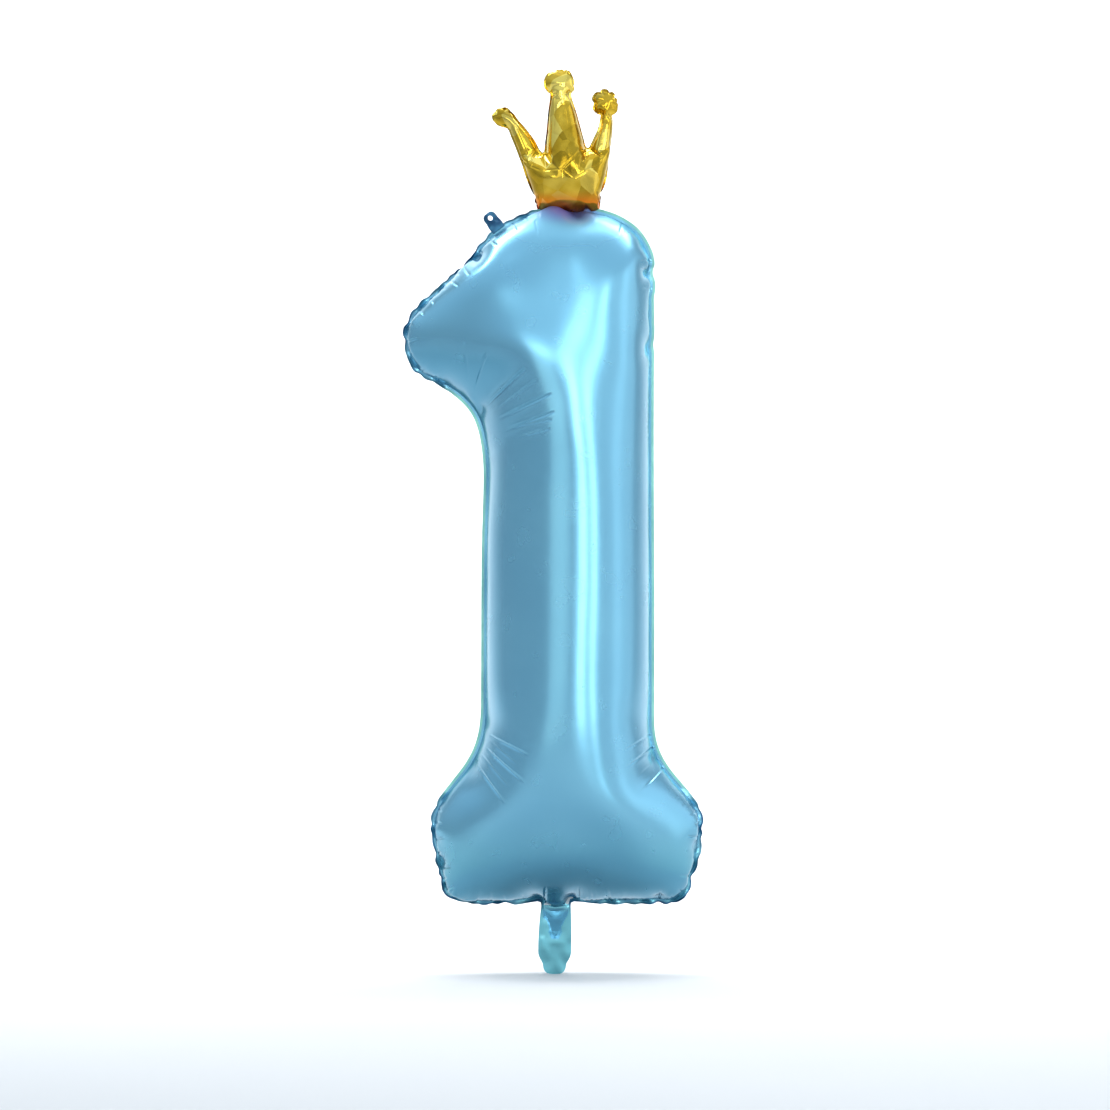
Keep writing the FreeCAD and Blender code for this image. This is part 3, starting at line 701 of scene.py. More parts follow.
def mesh_object(name, v, f, attrs, material):
    me = bpy.data.meshes.new(name)
    me.vertices.add(len(v))
    me.vertices.foreach_set("co", (v * MM).astype(np.float32).ravel())
    me.loops.add(f.size)
    me.loops.foreach_set("vertex_index", f.astype(np.int32).ravel())
    me.polygons.add(len(f))
    me.polygons.foreach_set("loop_start", np.arange(0, f.size, 3, dtype=np.int32))
    me.polygons.foreach_set("use_smooth", np.ones(len(f), bool))
    for k, a in attrs.items():
        a = np.asarray(a, np.float32)
        if a.ndim == 1:
            me.attributes.new(k, 'FLOAT', 'POINT').data.foreach_set("value", a)
        else:
            me.attributes.new(k, 'FLOAT_VECTOR', 'POINT').data.foreach_set("vector", a.ravel())
    me.update(calc_edges=True)
    if "weld" in attrs:
        e = np.empty(len(me.edges) * 2, np.int32)
        me.edges.foreach_get("vertices", e)
        e = e.reshape(-1, 2)
        w = np.asarray(attrs["weld"]) > 0.999
        me.attributes.new("sharp_edge", 'BOOLEAN', 'EDGE').data.foreach_set("value", w[e[:, 0]] & w[e[:, 1]])
    me.validate()
    ob = bpy.data.objects.new(name, me)
    bpy.context.scene.collection.objects.link(ob)
    me.materials.append(material)
    return ob


def smooth(a, b, x):
    t = np.clip((np.asarray(x, float) - a) / (b - a), 0, 1)
    return t * t * (3 - 2 * t)


def layer(c, v2, faces_in, fout, wid, order, flip, weld_dark, keep_out, gap, flat_shift=None, extra=None):
    """One film of a welded pair: its blown-up part and its own share of the sealed margin."""
    n2 = len(v2)
    rim = fout if keep_out is None else fout[keep_out]
    f = np.vstack([faces_in, rim[:, ::-1] if flip else rim])
    ids, inv = np.unique(f, return_inverse=True)
    f = inv.reshape(-1, 3)
    where = -np.ones(len(c), int)
    where[ids] = np.arange(len(ids))
    v = c[ids].copy()
    seal = np.zeros(len(c))
    margin = np.zeros(len(c), bool)
    margin[fout.ravel()] = True
    on = np.zeros(len(c), bool)
    on[wid] = True
    seal[margin & ~on] = 1.0
    dark = np.zeros(len(c))
    dist = dist_to(v2[wid], v2)
    kd = KDTree(len(wid))
    for k, i in enumerate(wid):
        kd.insert((v2[i, 0], v2[i, 1], 0), k)
    kd.balance()
    for i in np.where(margin)[0]:
        dark[i] = weld_dark[kd.find((v2[i, 0], v2[i, 1], 0))[1]]
    attrs = {"seal": seal[ids], "dark": dark[ids], "film": np.zeros((len(ids), 3))}
    flat = np.zeros((len(c), 3))
    flat[:n2, 0], flat[:n2, 1] = v2[:, 0], v2[:, 1]
    flat[order[1], 0], flat[order[1], 1] = v2[order[0], 0], v2[order[0], 1]
    flat[:, 2] = 1.0 if flip else 0.0
    attrs["film"] = flat[ids] * np.array([MM, MM, 1.0])
    out = np.zeros(len(c))
    out[:n2] = np.where(margin[:n2], np.clip(dist / 2.0, 0, 1), 0)
    attrs["lift"] = out[ids]
    attrs["weld"] = on[ids].astype(float)
    sharp = np.column_stack([where[wid], where[np.roll(wid, -1)]])
    return v, f, sharp[(sharp >= 0).all(1)], attrs


# ---------------------------------------------------------------- the number
def number_outlines(h):
    body = dense(NUMBER, h, closed=False)
    apex = NECK_TOP - NECK_LEN
    left = [(-17.5, NECK_TOP - 0.5), (-14.6, NECK_TOP - 3.0), (-13.4, NECK_TOP - 7.0), (-11.5, NECK_TOP - 14.0),
            (-8.5, NECK_TOP - 22.0), (-4.5, NECK_TOP - 31.0)]
    right = [(-x, z) for x, z in left[::-1]]
    neck = dense([(-40, NECK_TOP)] + left + [(0, apex)] + right + [(40, NECK_TOP)], h, closed=False)
    weld = np.vstack([body[:-1], neck[:-1]])
    t = np.gradient(body, axis=0)
    t /= np.linalg.norm(t, axis=1)[:, None]
    c = body + np.column_stack([t[:, 1], -t[:, 0]]) * FLANGE
    c = c[(np.abs(c[:, 0]) > HALF + 2) | (c[:, 1] > 20)]
    zt = NECK_TOP - FLANGE
    b = apex
    e = b - TAIL_LEN
    tail = [(-HALF - 4, zt), (-HALF, zt - 3), (-HALF, b), (-HALF, e + 19), (-HALF + 1.5, e + 16), (-11.6, e + 12), (-11.2, e + 5),
            (-8.5, e + 1.2), (0, e), (8.5, e + 1.2), (11.2, e + 5), (11.6, e + 12), (HALF - 1.5, e + 16), (HALF, e + 19),
            (HALF, b), (HALF, zt - 3), (HALF + 4, zt)]
    return weld, np.vstack([resample(c, h, closed=False), resample(tail, h, closed=False)]), len(body) - 1


def make_number():
    hc = 11.0
    weld, _, m = number_outlines(hc)
    v2c, fc, _, widc = mesh_pattern(weld, None, hc)
    xc, ffc, _, backc = two_layers(v2c, fc, np.zeros((0, 3), int), widc)
    cc = settle(inflate(xc, ffc, 30, 1e-4), widc[:m + 1], NUMBER_STANDS, False)
    h = 5.5
    weld, cut, m = number_outlines(h)
    v2, fin, fout, wid = mesh_pattern(weld, cut, h)
    x, f, inter, back = two_layers(v2, fin, fout, wid)
    n = len(v2)
    used_in = np.zeros(n, bool)
    used_in[fin.ravel()] = True
    a, b = carry(v2c, fc, cc, backc, v2[used_in])
    s = np.zeros_like(x)
    s[:n][used_in] = a
    s[back[used_in]] = b
    run_out(v2, s, wid, used_in)
    x[:, 2] += NECK_RISE
    flat_z = np.concatenate([v2[:, 1], v2[inter, 1]])
    flat_x = np.concatenate([v2[:, 0], v2[inter, 0]])
    # the neck and the tail start flat, below the filled foot, and the tail's end is held there
    w = smooth(NECK_TOP - 2.0, NECK_TOP - 12.0, flat_z)[:, None] * (np.abs(flat_x) < HALF + 8)[:, None]
    s = s * (1 - w) + x * w
    on = np.zeros(len(x), bool)
    on[wid] = True
    used = np.zeros(len(x), bool)
    used[fout.ravel()] = True
    pin = flat_z < NECK_TOP - NECK_LEN - 4
    c = inflate(x, f, 20, 1e-4 * (h / 11) ** 2, no_press=used & ~on, pin=pin, start=s)
    c = settle(c, wid[:m + 1], NUMBER_STANDS, False)
    # how far the weld has drawn together, over about 24 mm, combined with masks over the arm and the foot: the margin
    # gathers there, and there it is painted navy as painted shade
    k = max(2, int(round(12 / h)))
    p3, p2 = c[wid], v2[wid]
    ratio = (np.linalg.norm(np.roll(p3, -k, 0) - np.roll(p3, k, 0), axis=1)
             / np.linalg.norm(np.roll(p2, -k, 0) - np.roll(p2, k, 0), axis=1))
    wx, wz = p3[:, 0], p3[:, 2]
    arm = smooth(-98, -108, wx - 0.35 * (wz - 560)) * smooth(540, 552, wz) * smooth(-22, -34, wx)
    arm = np.maximum(arm, smooth(-22, -32, wx) * smooth(560, 580, wz))
    foot = smooth(150, 136, wz)
    dark = np.clip(np.maximum(arm, foot) * (0.75 + 0.25 * smooth(1.0, 0.9, ratio)) + 0.10 * smooth(0.97, 0.9, ratio), 0, 1)
    for _ in range(2):
        dark = (np.roll(dark, 1) + 2 * dark + np.roll(dark, -1)) / 4
    flat_all = np.column_stack([flat_x, flat_z])
    above = smooth(NECK_TOP - 30.0, NECK_TOP + 25.0, flat_z) + (np.abs(flat_x) > HALF + 10)
    moved = stand_on(c.copy(), flat_all, wid[:m + 1], NUMBER_OUTLINE, h)
    c = c + (moved - c) * np.clip(above, 0, 1)[:, None]
    c, puckers = margin_out(c, v2, fout, wid, dark, lambda p: (np.abs(p[:, 0]) > HALF + 6) | (p[:, 1] > 20))
    return dict(c=c, v2=v2, fin=fin, fout=fout, wid=wid, back=back, inter=inter, dark=dark, body=m, puckers=puckers)


def make_crown():
    h = 1.9
    flange = 1.8
    big = 5.0
    weld = dense(CROWN, h)
    t = np.roll(weld, -1, 0) - np.roll(weld, 1, 0)
    t /= np.linalg.norm(t, axis=1)[:, None]
    cut = weld + np.column_stack([t[:, 1], -t[:, 0]]) * flange
    cut = cut[dist_to(weld, cut) > 0.93 * flange]
    cut = resample(cut, h)
    v2, fin, fout, wid = mesh_pattern(weld, cut, h)
    x, f, inter, back = two_layers(v2, fin, fout, wid, y0=0.0)
    n = len(v2)
    u = poisson(v2, fin, wid)
    s = x.copy()
    yy = 0.8 * np.sqrt(2 * u)
    rng = np.random.RandomState(2)
    s[:n, 1] = -yy
    s[n:, 1] = yy[np.where(inter)[0]]
    s[:, 1] += rng.uniform(-.02, .02, len(s))
    on = np.zeros(len(x), bool)
    on[wid] = True
    used = np.zeros(len(x), bool)
    used[fout.ravel()] = True
    c = inflate(x * big, f, 18, 1e-4 * (h * big / 15) ** 2, no_press=used & ~on, start=s * big, ramp=4) / big
    c = settle(c, wid, CROWN_STANDS, True)
    c[:, 2] -= CROWN_DROP
    return dict(c=c, v2=v2, fin=fin, fout=fout, wid=wid, back=back, inter=inter, dark=np.full(len(wid), 0.5), body=len(wid))


# ---------------------------------------------------------------- materials
def group_nodes(name):
    m = bpy.data.materials.new(name)
    m.use_nodes = True
    nt = m.node_tree
    return m, nt, nt.nodes["Principled BSDF"]


class Nodes:
    """Short names for the few node types these materials use."""

    def __init__(self, nt):
        self.nt = nt

    def link(self, a, b):
        self.nt.links.new(a, b)

    def new(self, kind, **sets):
        n = self.nt.nodes.new(kind)
        for k, v in sets.items():
            setattr(n, k, v)
        return n

    def attr(self, name, out="Fac"):
        return self.new("ShaderNodeAttribute", attribute_name=name, attribute_type='GEOMETRY').outputs[out]

    def math(self, op, a, b=None, clamp=False):
        n = self.new("ShaderNodeMath", operation=op, use_clamp=clamp)
        for i, x in enumerate((a, b)):
            if x is None:
                continue
            if isinstance(x, (int, float)):
                n.inputs[i].default_value = x
            else:
                self.link(x, n.inputs[i])
        return n.outputs[0]

    def ramp(self, x, a, b, lo=0.0, hi=1.0):
        n = self.new("ShaderNodeMapRange", interpolation_type='SMOOTHSTEP', clamp=True)
        self.link(x, n.inputs["Value"])
        for k, v in (("From Min", a), ("From Max", b), ("To Min", lo), ("To Max", hi)):
            n.inputs[k].default_value = v
        return n.outputs["Result"]

    def mix(self, fac, a, b, mode='MIX'):
        n = self.new("ShaderNodeMix", data_type='RGBA', blend_type=mode)
        for sock, x in ((n.inputs[0], fac), (n.inputs[6], a), (n.inputs[7], b)):
            if isinstance(x, (int, float)):
                sock.default_value = x
            elif isinstance(x, tuple):
                sock.default_value = x if len(x) == 4 else x + (1,)
            else:
                self.link(x, sock)
        return n.outputs[2]

    def noise(self, vec, scale, detail=2.0, rough=0.5, stretch=None, distortion=0.0):
        if stretch is not None:
            mp = self.new("ShaderNodeMapping")
            self.link(vec, mp.inputs["Vector"])
            mp.inputs["Scale"].default_value = stretch
            vec = mp.outputs["Vector"]
        n = self.new("ShaderNodeTexNoise")
        self.link(vec, n.inputs["Vector"])
        n.inputs["Scale"].default_value = scale
        n.inputs["Detail"].default_value = detail
        n.inputs["Roughness"].default_value = rough
        n.inputs["Distortion"].default_value = distortion
        return n.outputs["Fac"]

    def bump(self, height, strength, distance, normal=None):
        n = self.new("ShaderNodeBump")
        n.inputs["Strength"].default_value = strength
        n.inputs["Distance"].default_value = distance
        self.link(height, n.inputs["Height"])
        if normal is not None:
            self.link(normal, n.inputs["Normal"])
        return n.outputs["Normal"]


def blue_foil():
    m, nt, b = group_nodes("blue_foil")
    g = Nodes(nt)
    pos = g.new("ShaderNodeTexCoord").outputs["Object"]
    xyz = g.new("ShaderNodeSeparateXYZ")
    g.link(pos, xyz.inputs[0])
    z = xyz.outputs["Z"]
    film = g.attr("film", "Vector")
    body = (0.158, 0.405, 0.560)
    col = g.mix(g.ramp(g.noise(film, 9.0, 2.0), 0.35, 0.7), body, (0.172, 0.430, 0.580))
    # painted shade: the film is darkened and turned greener low on the foot; near the foot seam it is turned a little
    # bluer, and at the neck below about 30 mm a deep blue. Painted reflection: violet where the gold panel is reflected
    # at the waist
    col = g.mix(g.math('MULTIPLY', g.ramp(z, 0.130, 0.060), 0.55), col, (0.080, 0.295, 0.350))
    col = g.mix(g.math('MULTIPLY', g.ramp(z, 0.056, 0.044), 0.55), col, (0.130, 0.370, 0.430))
    col = g.mix(g.math('MULTIPLY', g.ramp(z, 0.030, 0.024), 0.90), col, (0.060, 0.250, 0.400))
    waist = g.new("ShaderNodeMapping")
    g.link(pos, waist.inputs["Vector"])
    waist.inputs["Location"].default_value = (-0.006, 0, -0.729)
    d = g.new("ShaderNodeVectorMath", operation='LENGTH')
    sc = g.new("ShaderNodeVectorMath", operation='MULTIPLY')
    g.link(waist.outputs["Vector"], sc.inputs[0])
    sc.inputs[1].default_value = (0.9, 0.25, 1.7)
    g.link(sc.outputs[0], d.inputs[0])
    # painted reflection: violet of the gold panel, strongest at the middle of the waist
    painted_violet_reflection = g.ramp(d.outputs["Value"], 0.040, 0.004)
    col = g.mix(g.math('MULTIPLY', painted_violet_reflection, 0.80), col, (0.200, 0.130, 0.560))
    # painted shade: film whose normal points downwards is darkened towards a deep blue
    painted_underside_shade = g.new("ShaderNodeSeparateXYZ")
    g.link(g.new("ShaderNodeNewGeometry").outputs["Normal"], painted_underside_shade.inputs[0])
    col = g.mix(g.math('MULTIPLY', g.ramp(painted_underside_shade.outputs["Z"], -0.02, -0.45), 0.90), col, (0.075, 0.250, 0.370))
    seal = g.attr("seal")
    dark = g.attr("dark")
    fold = g.noise(film, 55.0, 2.0, 0.6)
    # painted shade: where the dark attribute is high the sealed margin is painted navy, a shaded copy of the mint
    # margin colour
    painted_shade_navy = g.mix(g.ramp(fold, 0.35, 0.65), (0.010, 0.055, 0.130), (0.035, 0.150, 0.270))
    mint = g.mix(g.ramp(fold, 0.3, 0.7), (0.190, 0.470, 0.420), (0.260, 0.570, 0.500))
    edge = g.mix(dark, mint, painted_shade_navy)
    tail = g.attr("tail")
    edge = g.mix(g.math('MULTIPLY', tail, 0.90), edge, (0.120, 0.370, 0.440))
    sealed = g.ramp(seal, 0.35, 0.65)
    col = g.mix(sealed, col, edge)
    g.link(col, b.inputs["Base Color"])
    b.inputs["Metallic"].default_value = 0.86
    rough = g.math('ADD', g.math('MULTIPLY', g.noise(pos, 40.0, 3.0), 0.06), 0.235)
    rough = g.math('ADD', rough, g.math('MULTIPLY', sealed, 0.16))
    rough = g.math('ADD', rough, g.math('MULTIPLY', g.ramp(d.outputs["Value"], 0.075, 0.020), 0.38))
    g.link(rough, b.inputs["Roughness"])
    b.inputs["IOR"].default_value = 1.5
    b.inputs["Coat Weight"].default_value = 0.25
    b.inputs["Coat Roughness"].default_value = 0.12
    grain = g.noise(pos, 900.0, 1.0)
    ripple = g.noise(pos, 60.0, 2.0, 0.5, stretch=(1.0, 1.0, 0.35))
    n = g.bump(ripple, 0.12, 0.0006)
    n = g.bump(grain, 0.05, 0.0001, n)
    g.link(n, b.inputs["Normal"])
    return m


def gold_foil():
    m, nt, b = group_nodes("gold_foil")
    g = Nodes(nt)
    pos = g.new("ShaderNodeTexCoord").outputs["Object"]
    xyz = g.new("ShaderNodeSeparateXYZ")
    g.link(pos, xyz.inputs[0])
    z = xyz.outputs["Z"]
    film = g.attr("film", "Vector")
    # painted shade and painted highlight: Voronoi cells tint some patches dark olive and others pale gold, in place of
    # shaded and lit facets of the crumpled foil
    facet = g.new("ShaderNodeTexVoronoi")
    facet.inputs["Scale"].default_value = 52.0
    g.link(film, facet.inputs["Vector"])
    painted_facet_light = g.new("ShaderNodeSeparateXYZ")
    g.link(facet.outputs["Color"], painted_facet_light.inputs[0])
    col = g.mix(g.ramp(g.noise(film, 45.0, 2.0), 0.35, 0.7), (0.480, 0.300, 0.020), (0.680, 0.460, 0.050))
    col = g.mix(g.math('MULTIPLY', g.ramp(painted_facet_light.outputs["X"], 0.62, 0.95), 0.70), col, (0.250, 0.160, 0.010))
    col = g.mix(g.math('MULTIPLY', g.ramp(painted_facet_light.outputs["Y"], 0.60, 0.95), 0.75), col, (0.860, 0.700, 0.170))
    # painted shade: a red-orange band at the crown's base, where its film turns inwards
    col = g.mix(g.math('MULTIPLY', g.ramp(z, 0.748, 0.731), 0.80), col, (0.640, 0.130, 0.012))
    seal = g.ramp(g.attr("seal"), 0.35, 0.65)
    col = g.mix(g.math('MULTIPLY', seal, 0.5), col, (0.420, 0.240, 0.010))
    g.link(col, b.inputs["Base Color"])
    b.inputs["Metallic"].default_value = 1.0
    rough = g.math('ADD', g.math('MULTIPLY', g.noise(film, 90.0, 3.0), 0.08), 0.11)
    g.link(rough, b.inputs["Roughness"])
    ripple = g.noise(film, 160.0, 2.0, 0.5)
    n = g.bump(ripple, 0.35, 0.0004)
    g.link(n, b.inputs["Normal"])
    return m


def valve_film():
    m, nt, b = group_nodes("valve_film")
    g = Nodes(nt)
    pos = g.new("ShaderNodeTexCoord").outputs["Object"]
    col = g.mix(g.ramp(g.noise(pos, 120.0, 3.0), 0.3, 0.7), (0.62, 0.68, 0.70), (0.80, 0.84, 0.86))
    g.link(col, b.inputs["Base Color"])
    g.link(g.math('ADD', g.math('MULTIPLY', g.noise(pos, 300.0), 0.1), 0.2), b.inputs["Roughness"])
    b.inputs["Alpha"].default_value = 0.55
    g.link(g.bump(g.noise(pos, 200.0, 2.0), 0.3, 0.0002), b.inputs["Normal"])
    return m


BLUE, GOLD, CLEAR = blue_foil(), gold_foil(), valve_film()


# ---------------------------------------------------------------- pieces
def film_piece(name, d, front, material, keep_out=None, divide=1, tail_fn=None, after=None, ironing=None,
               lines=None, wide=1.0):
    c, v2 = d["c"], d["v2"]
    ids = np.arange(len(v2))[d["inter"]]
    faces = d["fin"] if front else d["back"][d["fin"]][:, ::-1]
    v, f, sharp, attrs = layer(c, v2, faces, d["fout"], d["wid"], (ids, len(v2) + np.arange(len(ids))), not front,
                               d["dark"], keep_out, 0.1)
    hold = np.zeros(len(v), bool)
    hold[np.unique(sharp)] = True
    hold |= attrs["seal"] > 0
    v = relax(v, f, hold, 5)
    v = iron(v, f, hold, dist_to(d["v2"][d["wid"]], attrs["film"][:, :2] / MM), ironing)
    for _ in range(divide):
        v, f, sharp, attrs = loop_divide(v, f, sharp, attrs)
    if ironing and divide:
        hold = attrs["seal"] > 0
        hold[np.unique(sharp)] = True
        v = fair(v, f, hold, dist_to(d["v2"][d["wid"]], attrs["film"][:, :2] / MM), 8.0, 22.0, 30)
    if lines:
        v, f, attrs = crease(v, f, attrs, lines, 2, wide)
    flat = attrs["film"][:, :2] / MM
    if after is not None:
        v = after(v, flat, attrs)
    n = normals_of(v, f)
    v = v + n * (attrs.pop("lift") * 0.08)[:, None]
    attrs["tail"] = tail_fn(flat) if tail_fn else np.zeros(len(v))
    return mesh_object(name, v, f, attrs, material)


def crumple(v, flat, attrs):
    """The flat film of the tail is creased from being handled and tied."""
    x, z = flat[:, 0], flat[:, 1]
    apex = NECK_TOP - NECK_LEN
    w = smooth(0.2, 1.0, attrs["lift"]) * smooth(apex + 14, apex - 2, z) * (np.abs(x) < 30)
    y = np.zeros(len(v))
    for ang, pitch, amp, ph in ((38, 15, 0.30, 0.3), (-47, 19, 0.28, 1.7), (14, 9.5, 0.10, 0.9), (80, 21, 0.2, 2.2)):
        a = math.radians(ang)
        s = (x * math.cos(a) + z * math.sin(a)) / pitch + ph
        y += amp * (np.abs((s % 1.0) - 0.5) * 4 - 1)
    v = v.copy()
    v[:, 1] += w * y
    return v


def tail_part(flat):
    return smooth(NECK_TOP - 8, NECK_TOP - 16, flat[:, 1]) * (np.abs(flat[:, 0]) < HALF + 6)


# folds in the film, from the weld inwards: at the hollow corners, at the shoulder and along the foot
FOLDS = [
    (-96, 594, -92, 552, 0.40), (-74, 583, -88, 540, 0.75), (-34, 567, -78, 527, 0.75), (-8, 542, -66, 515, 0.65),
    (-5, 524, -58, 504, 0.60), (-8, 516, -50, 508, 0.35), (-10, 507, -44, 498, 0.35), (-22, 556, -72, 521, 0.35),
    (-72, 203, -30, 183, 0.65), (-75, 190, -34, 155, 0.75), (-84, 173, -54, 134, 0.65), (-80, 184, -50, 150, 0.35), (-70, 196, -40, 172, 0.3),
    (106, 199, 62, 170, 0.65), (116, 184, 76, 144, 0.65), (96, 206, 58, 186, 0.35), (110, 190, 72, 158, 0.3),
    (-95, 681, -78, 674, 0.5), (92, 677, 77, 676, 0.5), (92, 648, 80, 648, 0.4), (-26, 716, -22, 696, 0.35), (62, 717, 58, 700, 0.35),
    (-83, 34, -79, 50, 0.6), (49, 34, 47, 52, 0.6), (-17, 33, -15, 55, 0.7), (18, 33, 17, 54, 0.7)]
FOLDS += [(22 + 4.6 * k, 35, 21 + 4.4 * k, 51 + 1.5 * math.sin(2.1 * k), 0.22) for k in range(11)]
num = make_number()
FOLDS += num["puckers"]
number_front = film_piece("number_front", num, True, BLUE, None, 1, tail_part, crumple, (9, 34, 260), FOLDS)
number_back = film_piece("number_back", num, False, BLUE, None, 1, tail_part, crumple, (9, 34, 260), FOLDS)

def tips(v, flat, attrs):
    """The balls on the points: two lobes on the middle one, petals on the right one, a small second lobe on the left one."""
    v = v.copy()
    for x0, z0, r, k, phase, depth in ((-1.7, 857.5, 13.5, 2, 1.45, 2.2), (47.0, 838.0, 13.5, 6, 0.3, 2.4), (-59.0, 822.5, 11.5, 3, 0.6, 1.5)):
        dx, dz = v[:, 0] - x0, v[:, 2] - z0
        rr = np.hypot(dx, dz)
        th = np.arctan2(dz, dx)
        w = smooth(0.20, 0.75, rr / r) * (1 - smooth(1.25, 1.45, rr / r))
        upper = smooth(-0.9, -0.4, dz / r)
        groove = np.abs(np.cos(0.5 * k * (th - phase))) ** 6
        a = w * upper * groove * depth
        v[:, 0] -= a * dx / np.maximum(rr, 1e-6)
        v[:, 2] -= a * dz / np.maximum(rr, 1e-6)
        v[:, 1] *= 1 - 0.28 * w * upper * groove
    return v


CROWN_FOLDS = [
    (-45, 781, -31, 770, 0.45), (-31, 770, -19, 765, 0.45), (-19, 765, 2, 767, 0.45), (2, 767, 14, 757, 0.35), (14, 757, 30, 768, 0.4),
    (30, 768, 44, 776, 0.45), (-37, 778, -22, 790, 0.35), (-30, 768, -21, 786, 0.3), (2, 767, 3, 742, 0.35), (2, 767, 23, 790, 0.35),
    (-5, 848, -8, 790, 0.35), (3, 846, 10, 790, 0.35), (-46, 812, -31, 776, 0.3), (42, 816, 33, 776, 0.3), (-19, 786, -8, 768, 0.3)]
crw = make_crown()
crown_front = film_piece("crown_front", crw, True, GOLD, None, 1, None, tips, None, CROWN_FOLDS, 0.75)
crown_back = film_piece("crown_back", crw, False, GOLD, None, 1, None, tips, None, CROWN_FOLDS, 0.75)


def make_tab():
    """A film lug that stands on the weld, with an eyelet, its sides rolled back a little."""
    wd, ln, r, eye = 7.5, 16.0, 2.6, 10.3
    h = 0.9
    corner = 5.0
    out = [(-wd + 0.5, -4.4), (wd - 0.5, -4.4), (wd, 1.0)]
    for k in range(0, 91, 15):
        a = math.radians(k)
        out.append((wd - corner + corner * math.cos(a), ln - corner + corner * math.sin(a)))
    for k in range(90, 181, 15):
        a = math.radians(k)
        out.append((-wd + corner + corner * math.cos(a), ln - corner + corner * math.sin(a)))
    out.append((-wd, 1.0))
    out = resample(np.array(out), h)
    ring = np.array([(r * math.cos(a), eye + r * math.sin(a)) for a in np.linspace(0, 2 * math.pi, 28, endpoint=False)])
    lat = lattice(out.min(0), out.max(0), h, 4, 0.05)
    lat = lat[inside(out, lat) & ~inside(ring, lat) & (dist_to(out, lat) > 0.5 * h) & (dist_to(ring, lat) > 0.5 * h)]
    n0 = len(out)
    v, f, _ = triangulate(np.vstack([out, ring, lat]), [list(range(n0)), list(range(n0, n0 + len(ring)))])
    cen = v[f].mean(1)
    f = f[inside(out, cen) & ~inside(ring, cen)]
    ids, inv = np.unique(f, return_inverse=True)
    v, f = v[ids], inv.reshape(-1, 3)
    uu, vv = v[:, 0], v[:, 1]
    g = smooth(1.0, 8.0, vv)
    y = g * (-1.2 + 0.055 * uu ** 2 + 0.25 * np.sin(uu * 0.9 + vv * 0.5)) + 0.35 * np.sin(vv * 0.7) * g
    y = np.clip(y, -3.0, 3.0) - 0.45 * (1 - g)
    squeeze = 1 - 0.10 * g
    p = TAB_AT + TAB_ALONG * (uu * squeeze)[:, None] + TAB_OUT * vv[:, None]
    top = np.column_stack([p[:, 0], y, p[:, 1]])
    nn = normals_of(top, f)
    n = len(top)
    vv3 = np.vstack([top + nn * 0.08, top - nn * 0.08])
    e, cnt = np.unique(np.sort(np.vstack([f[:, [0, 1]], f[:, [1, 2]], f[:, [2, 0]]]), axis=1), axis=0, return_counts=True)
    border = {tuple(x) for x in e[cnt == 1]}
    walls = []
    for t in f:
        for a, b in ((t[0], t[1]), (t[1], t[2]), (t[2], t[0])):
            if (min(a, b), max(a, b)) in border:
                walls += [(b, a, a + n), (b, a + n, b + n)]
    ff = np.vstack([f, f[:, ::-1] + n, np.array(walls)])
    flat = np.zeros((len(vv3), 3))
    flat[:, :2] = np.vstack([v, v]) * MM
    # painted shade: the dark attribute is 1 over the whole tab, so it takes the navy margin colour
    return mesh_object("tab", vv3, ff, {"film": flat, "seal": np.ones(len(vv3)), "dark": np.ones(len(vv3)),
                                       "tail": np.zeros(len(vv3))}, BLUE)


tab = make_tab()


def make_valve(name, sign):
    """One of the two clear films of the self-sealing valve, which lie together in the neck and hang into the foot."""
    c, v2, wid, m = num["c"], num["v2"], num["wid"], num["body"]
    neck = c[wid[m:]]
    mid = neck[np.abs(neck[:, 2]) < 60]
    zs = np.linspace(32.0, 97.5, 40)
    us = np.linspace(-1, 1, 13)
    v, f = [], []
    for i, z in enumerate(zs):
        near = mid[np.abs(mid[:, 2] - z) < 7]
        half = min(12.2, 0.5 * (near[:, 0].max() - near[:, 0].min()) - 4.0) if len(near) > 3 and z < 38 else 12.2
        half = max(1.0, min(half, 12.2))
        xm = 0.5 * (near[:, 0].max() + near[:, 0].min()) if len(near) > 3 and z < 34 else 0.0
        ym = near[:, 1].mean() if len(near) > 3 and z < 34 else 0.0
        for u_ in us:
            bow = 0.08 + 0.9 * (1 - u_ * u_) * float(smooth(12, 45, z))
            wave = 0.8 * math.sin(z * 0.09) * float(smooth(40, 90, z))
            v.append((xm * (1 - float(smooth(20, 45, z))) + half * u_, ym * (1 - float(smooth(20, 45, z))) + sign * bow + wave, z))
    k = len(us)
    for i in range(len(zs) - 1):
        for j in range(k - 1):
            a, b, c_, d_ = i * k + j, i * k + j + 1, (i + 1) * k + j + 1, (i + 1) * k + j
            f += [(a, b, c_), (a, c_, d_)] if sign < 0 else [(a, c_, b), (a, d_, c_)]
    v, f = np.array(v), np.array(f)
    return mesh_object(name, v, f, {"film": v * MM}, CLEAR)


valve_front = make_valve("valve_front", -1)
valve_back = make_valve("valve_back", 1)

# ---------------------------------------------------------------- what rides on what
for ob, cad in ((number_front, ("number_front_film", "tail_front_film")), (number_back, ("number_back_film", "tail_back_film"))):
    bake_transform(ob)
    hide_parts(*cad)
for ob, cad in ((crown_front, "crown_front_film"), (crown_back, "crown_back_film")):
    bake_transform(ob)
    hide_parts(cad)
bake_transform(tab)
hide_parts("hang_tab")
for ob, cad in ((valve_front, "valve_front_film"), (valve_back, "valve_back_film")):
    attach(ob, "number")
    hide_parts(cad)


# ---------------------------------------------------------------- stage, light and camera
def plain(name, col):
    m, nt, b = group_nodes(name)
    g = Nodes(nt)
    pos = g.new("ShaderNodeTexCoord").outputs["Object"]
    g.link(g.mix(g.ramp(g.noise(pos, 1.5, 2.0), 0.3, 0.7), col, tuple(min(1.0, x * 1.015) for x in col)), b.inputs["Base Color"])
    b.inputs["Roughness"].default_value = 0.9
    return m


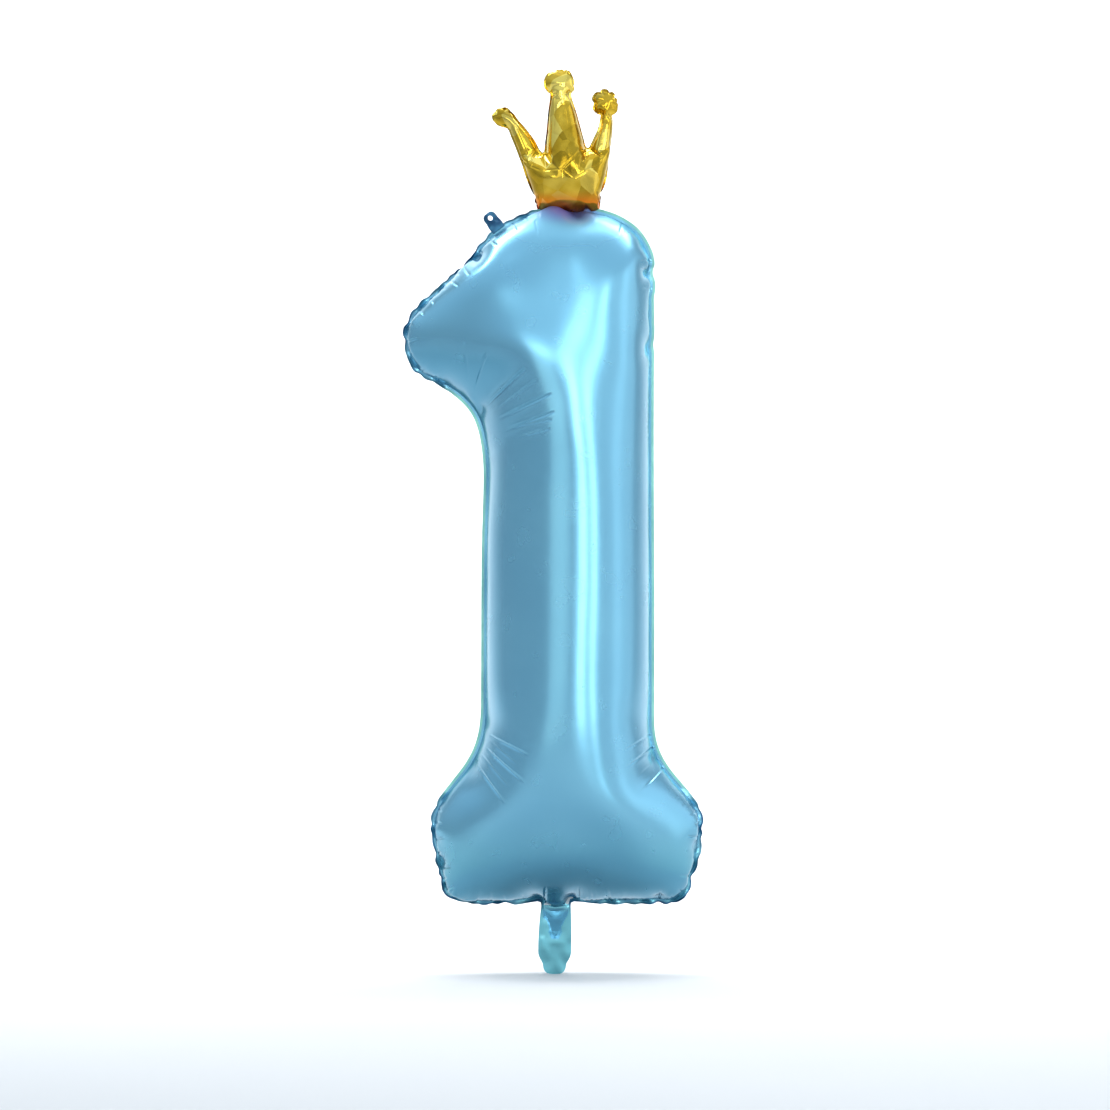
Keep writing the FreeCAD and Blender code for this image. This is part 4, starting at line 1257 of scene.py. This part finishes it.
def sweep():
    """A pale floor that curves up into a pale wall behind the balloon."""
    z0 = CAD_BOX[0][2] - 0.004
    prof = [(-4.0, z0), (1.2, z0)]
    r = 0.9
    for k in range(0, 91, 10):
        a = math.radians(k)
        prof.append((1.2 + r * math.sin(a), z0 + r - r * math.cos(a)))
    prof.append((2.1, z0 + 5.0))
    v, f = [], []
    for y, z in prof:
        v += [(-5.0, y, z), (5.0, y, z)]
    for i in range(len(prof) - 1):
        f.append((2 * i, 2 * i + 1, 2 * i + 3, 2 * i + 2))
    me = bpy.data.meshes.new("backdrop")
    me.from_pydata(v, [], f)
    me.polygons.foreach_set("use_smooth", [True] * len(f))
    ob = bpy.data.objects.new("backdrop", me)
    bpy.context.scene.collection.objects.link(ob)
    me.materials.append(plain("pale_floor", (0.64, 0.64, 0.64)))
    return ob


sweep()


def area(name, azimuth, dist, z, size, energy, color=(1, 1, 1), aim=(0, 0, 0.40), spread=180):
    """A softbox. Azimuth 0 is straight in front, 90 to the right as seen from the front."""
    li = bpy.data.lights.new(name, 'AREA')
    li.shape = 'RECTANGLE'
    li.size, li.size_y = size
    li.energy = energy
    li.color = color
    li.spread = math.radians(spread)
    ob = bpy.data.objects.new(name, li)
    bpy.context.scene.collection.objects.link(ob)
    a = math.radians(azimuth)
    ob.location = (dist * math.sin(a), -dist * math.cos(a), z)
    ob.rotation_euler = (Vector(aim) - ob.location).to_track_quat('-Z', 'Y').to_euler()
    ob.visible_camera = False
    return ob


area("key_strip", 20, 3.0, 0.75, (0.56, 3.0), 6.4, (1.0, 1.0, 0.95), spread=90)
area("key_strip_narrow", 38, 3.0, 0.75, (0.42, 3.0), 4.7, (1.0, 1.0, 0.95), spread=90)
area("fill_centre", -14, 3.4, 0.75, (1.7, 3.0), 3.8, (1.0, 1.0, 0.88), spread=90)
area("window_high", -8, 3.0, 1.70, (2.3, 0.50), 2.3, spread=90)
area("fill_right", 66, 3.0, 0.75, (1.9, 3.0), 2.4, spread=90)
area("side_right", 88, 2.6, 0.8, (1.8, 2.6), 10)
area("top", 0, 0.4, 3.2, (2.4, 1.6), 5)
area("back_wall", 180, 0.9, 2.4, (3.0, 1.0), 110, aim=(0, 2.1, 0.6))

world = bpy.data.worlds.new("studio")
bpy.context.scene.world = world
world.use_nodes = True
bg = world.node_tree.nodes["Background"]
bg.inputs[0].default_value = (0.90, 1.03, 1.16, 1)
wg = Nodes(world.node_tree)
sky = wg.new("ShaderNodeSeparateXYZ")
wg.link(wg.new("ShaderNodeTexCoord").outputs["Generated"], sky.inputs[0])
wg.link(wg.ramp(sky.outputs["Z"], -0.05, 0.80, 0.52, 1.0), bg.inputs[1])

cam = bpy.data.cameras.new("camera")
cam.sensor_width = 36.0
cam.lens = 200.0
cam.clip_end = 50
camera = bpy.data.objects.new("camera", cam)
bpy.context.scene.collection.objects.link(camera)
camera.location = (-0.006, -6.167, 0.382)
camera.rotation_euler = (math.pi / 2, 0, 0)
bpy.context.scene.camera = camera
bpy.context.scene.view_settings.view_transform = 'Standard'
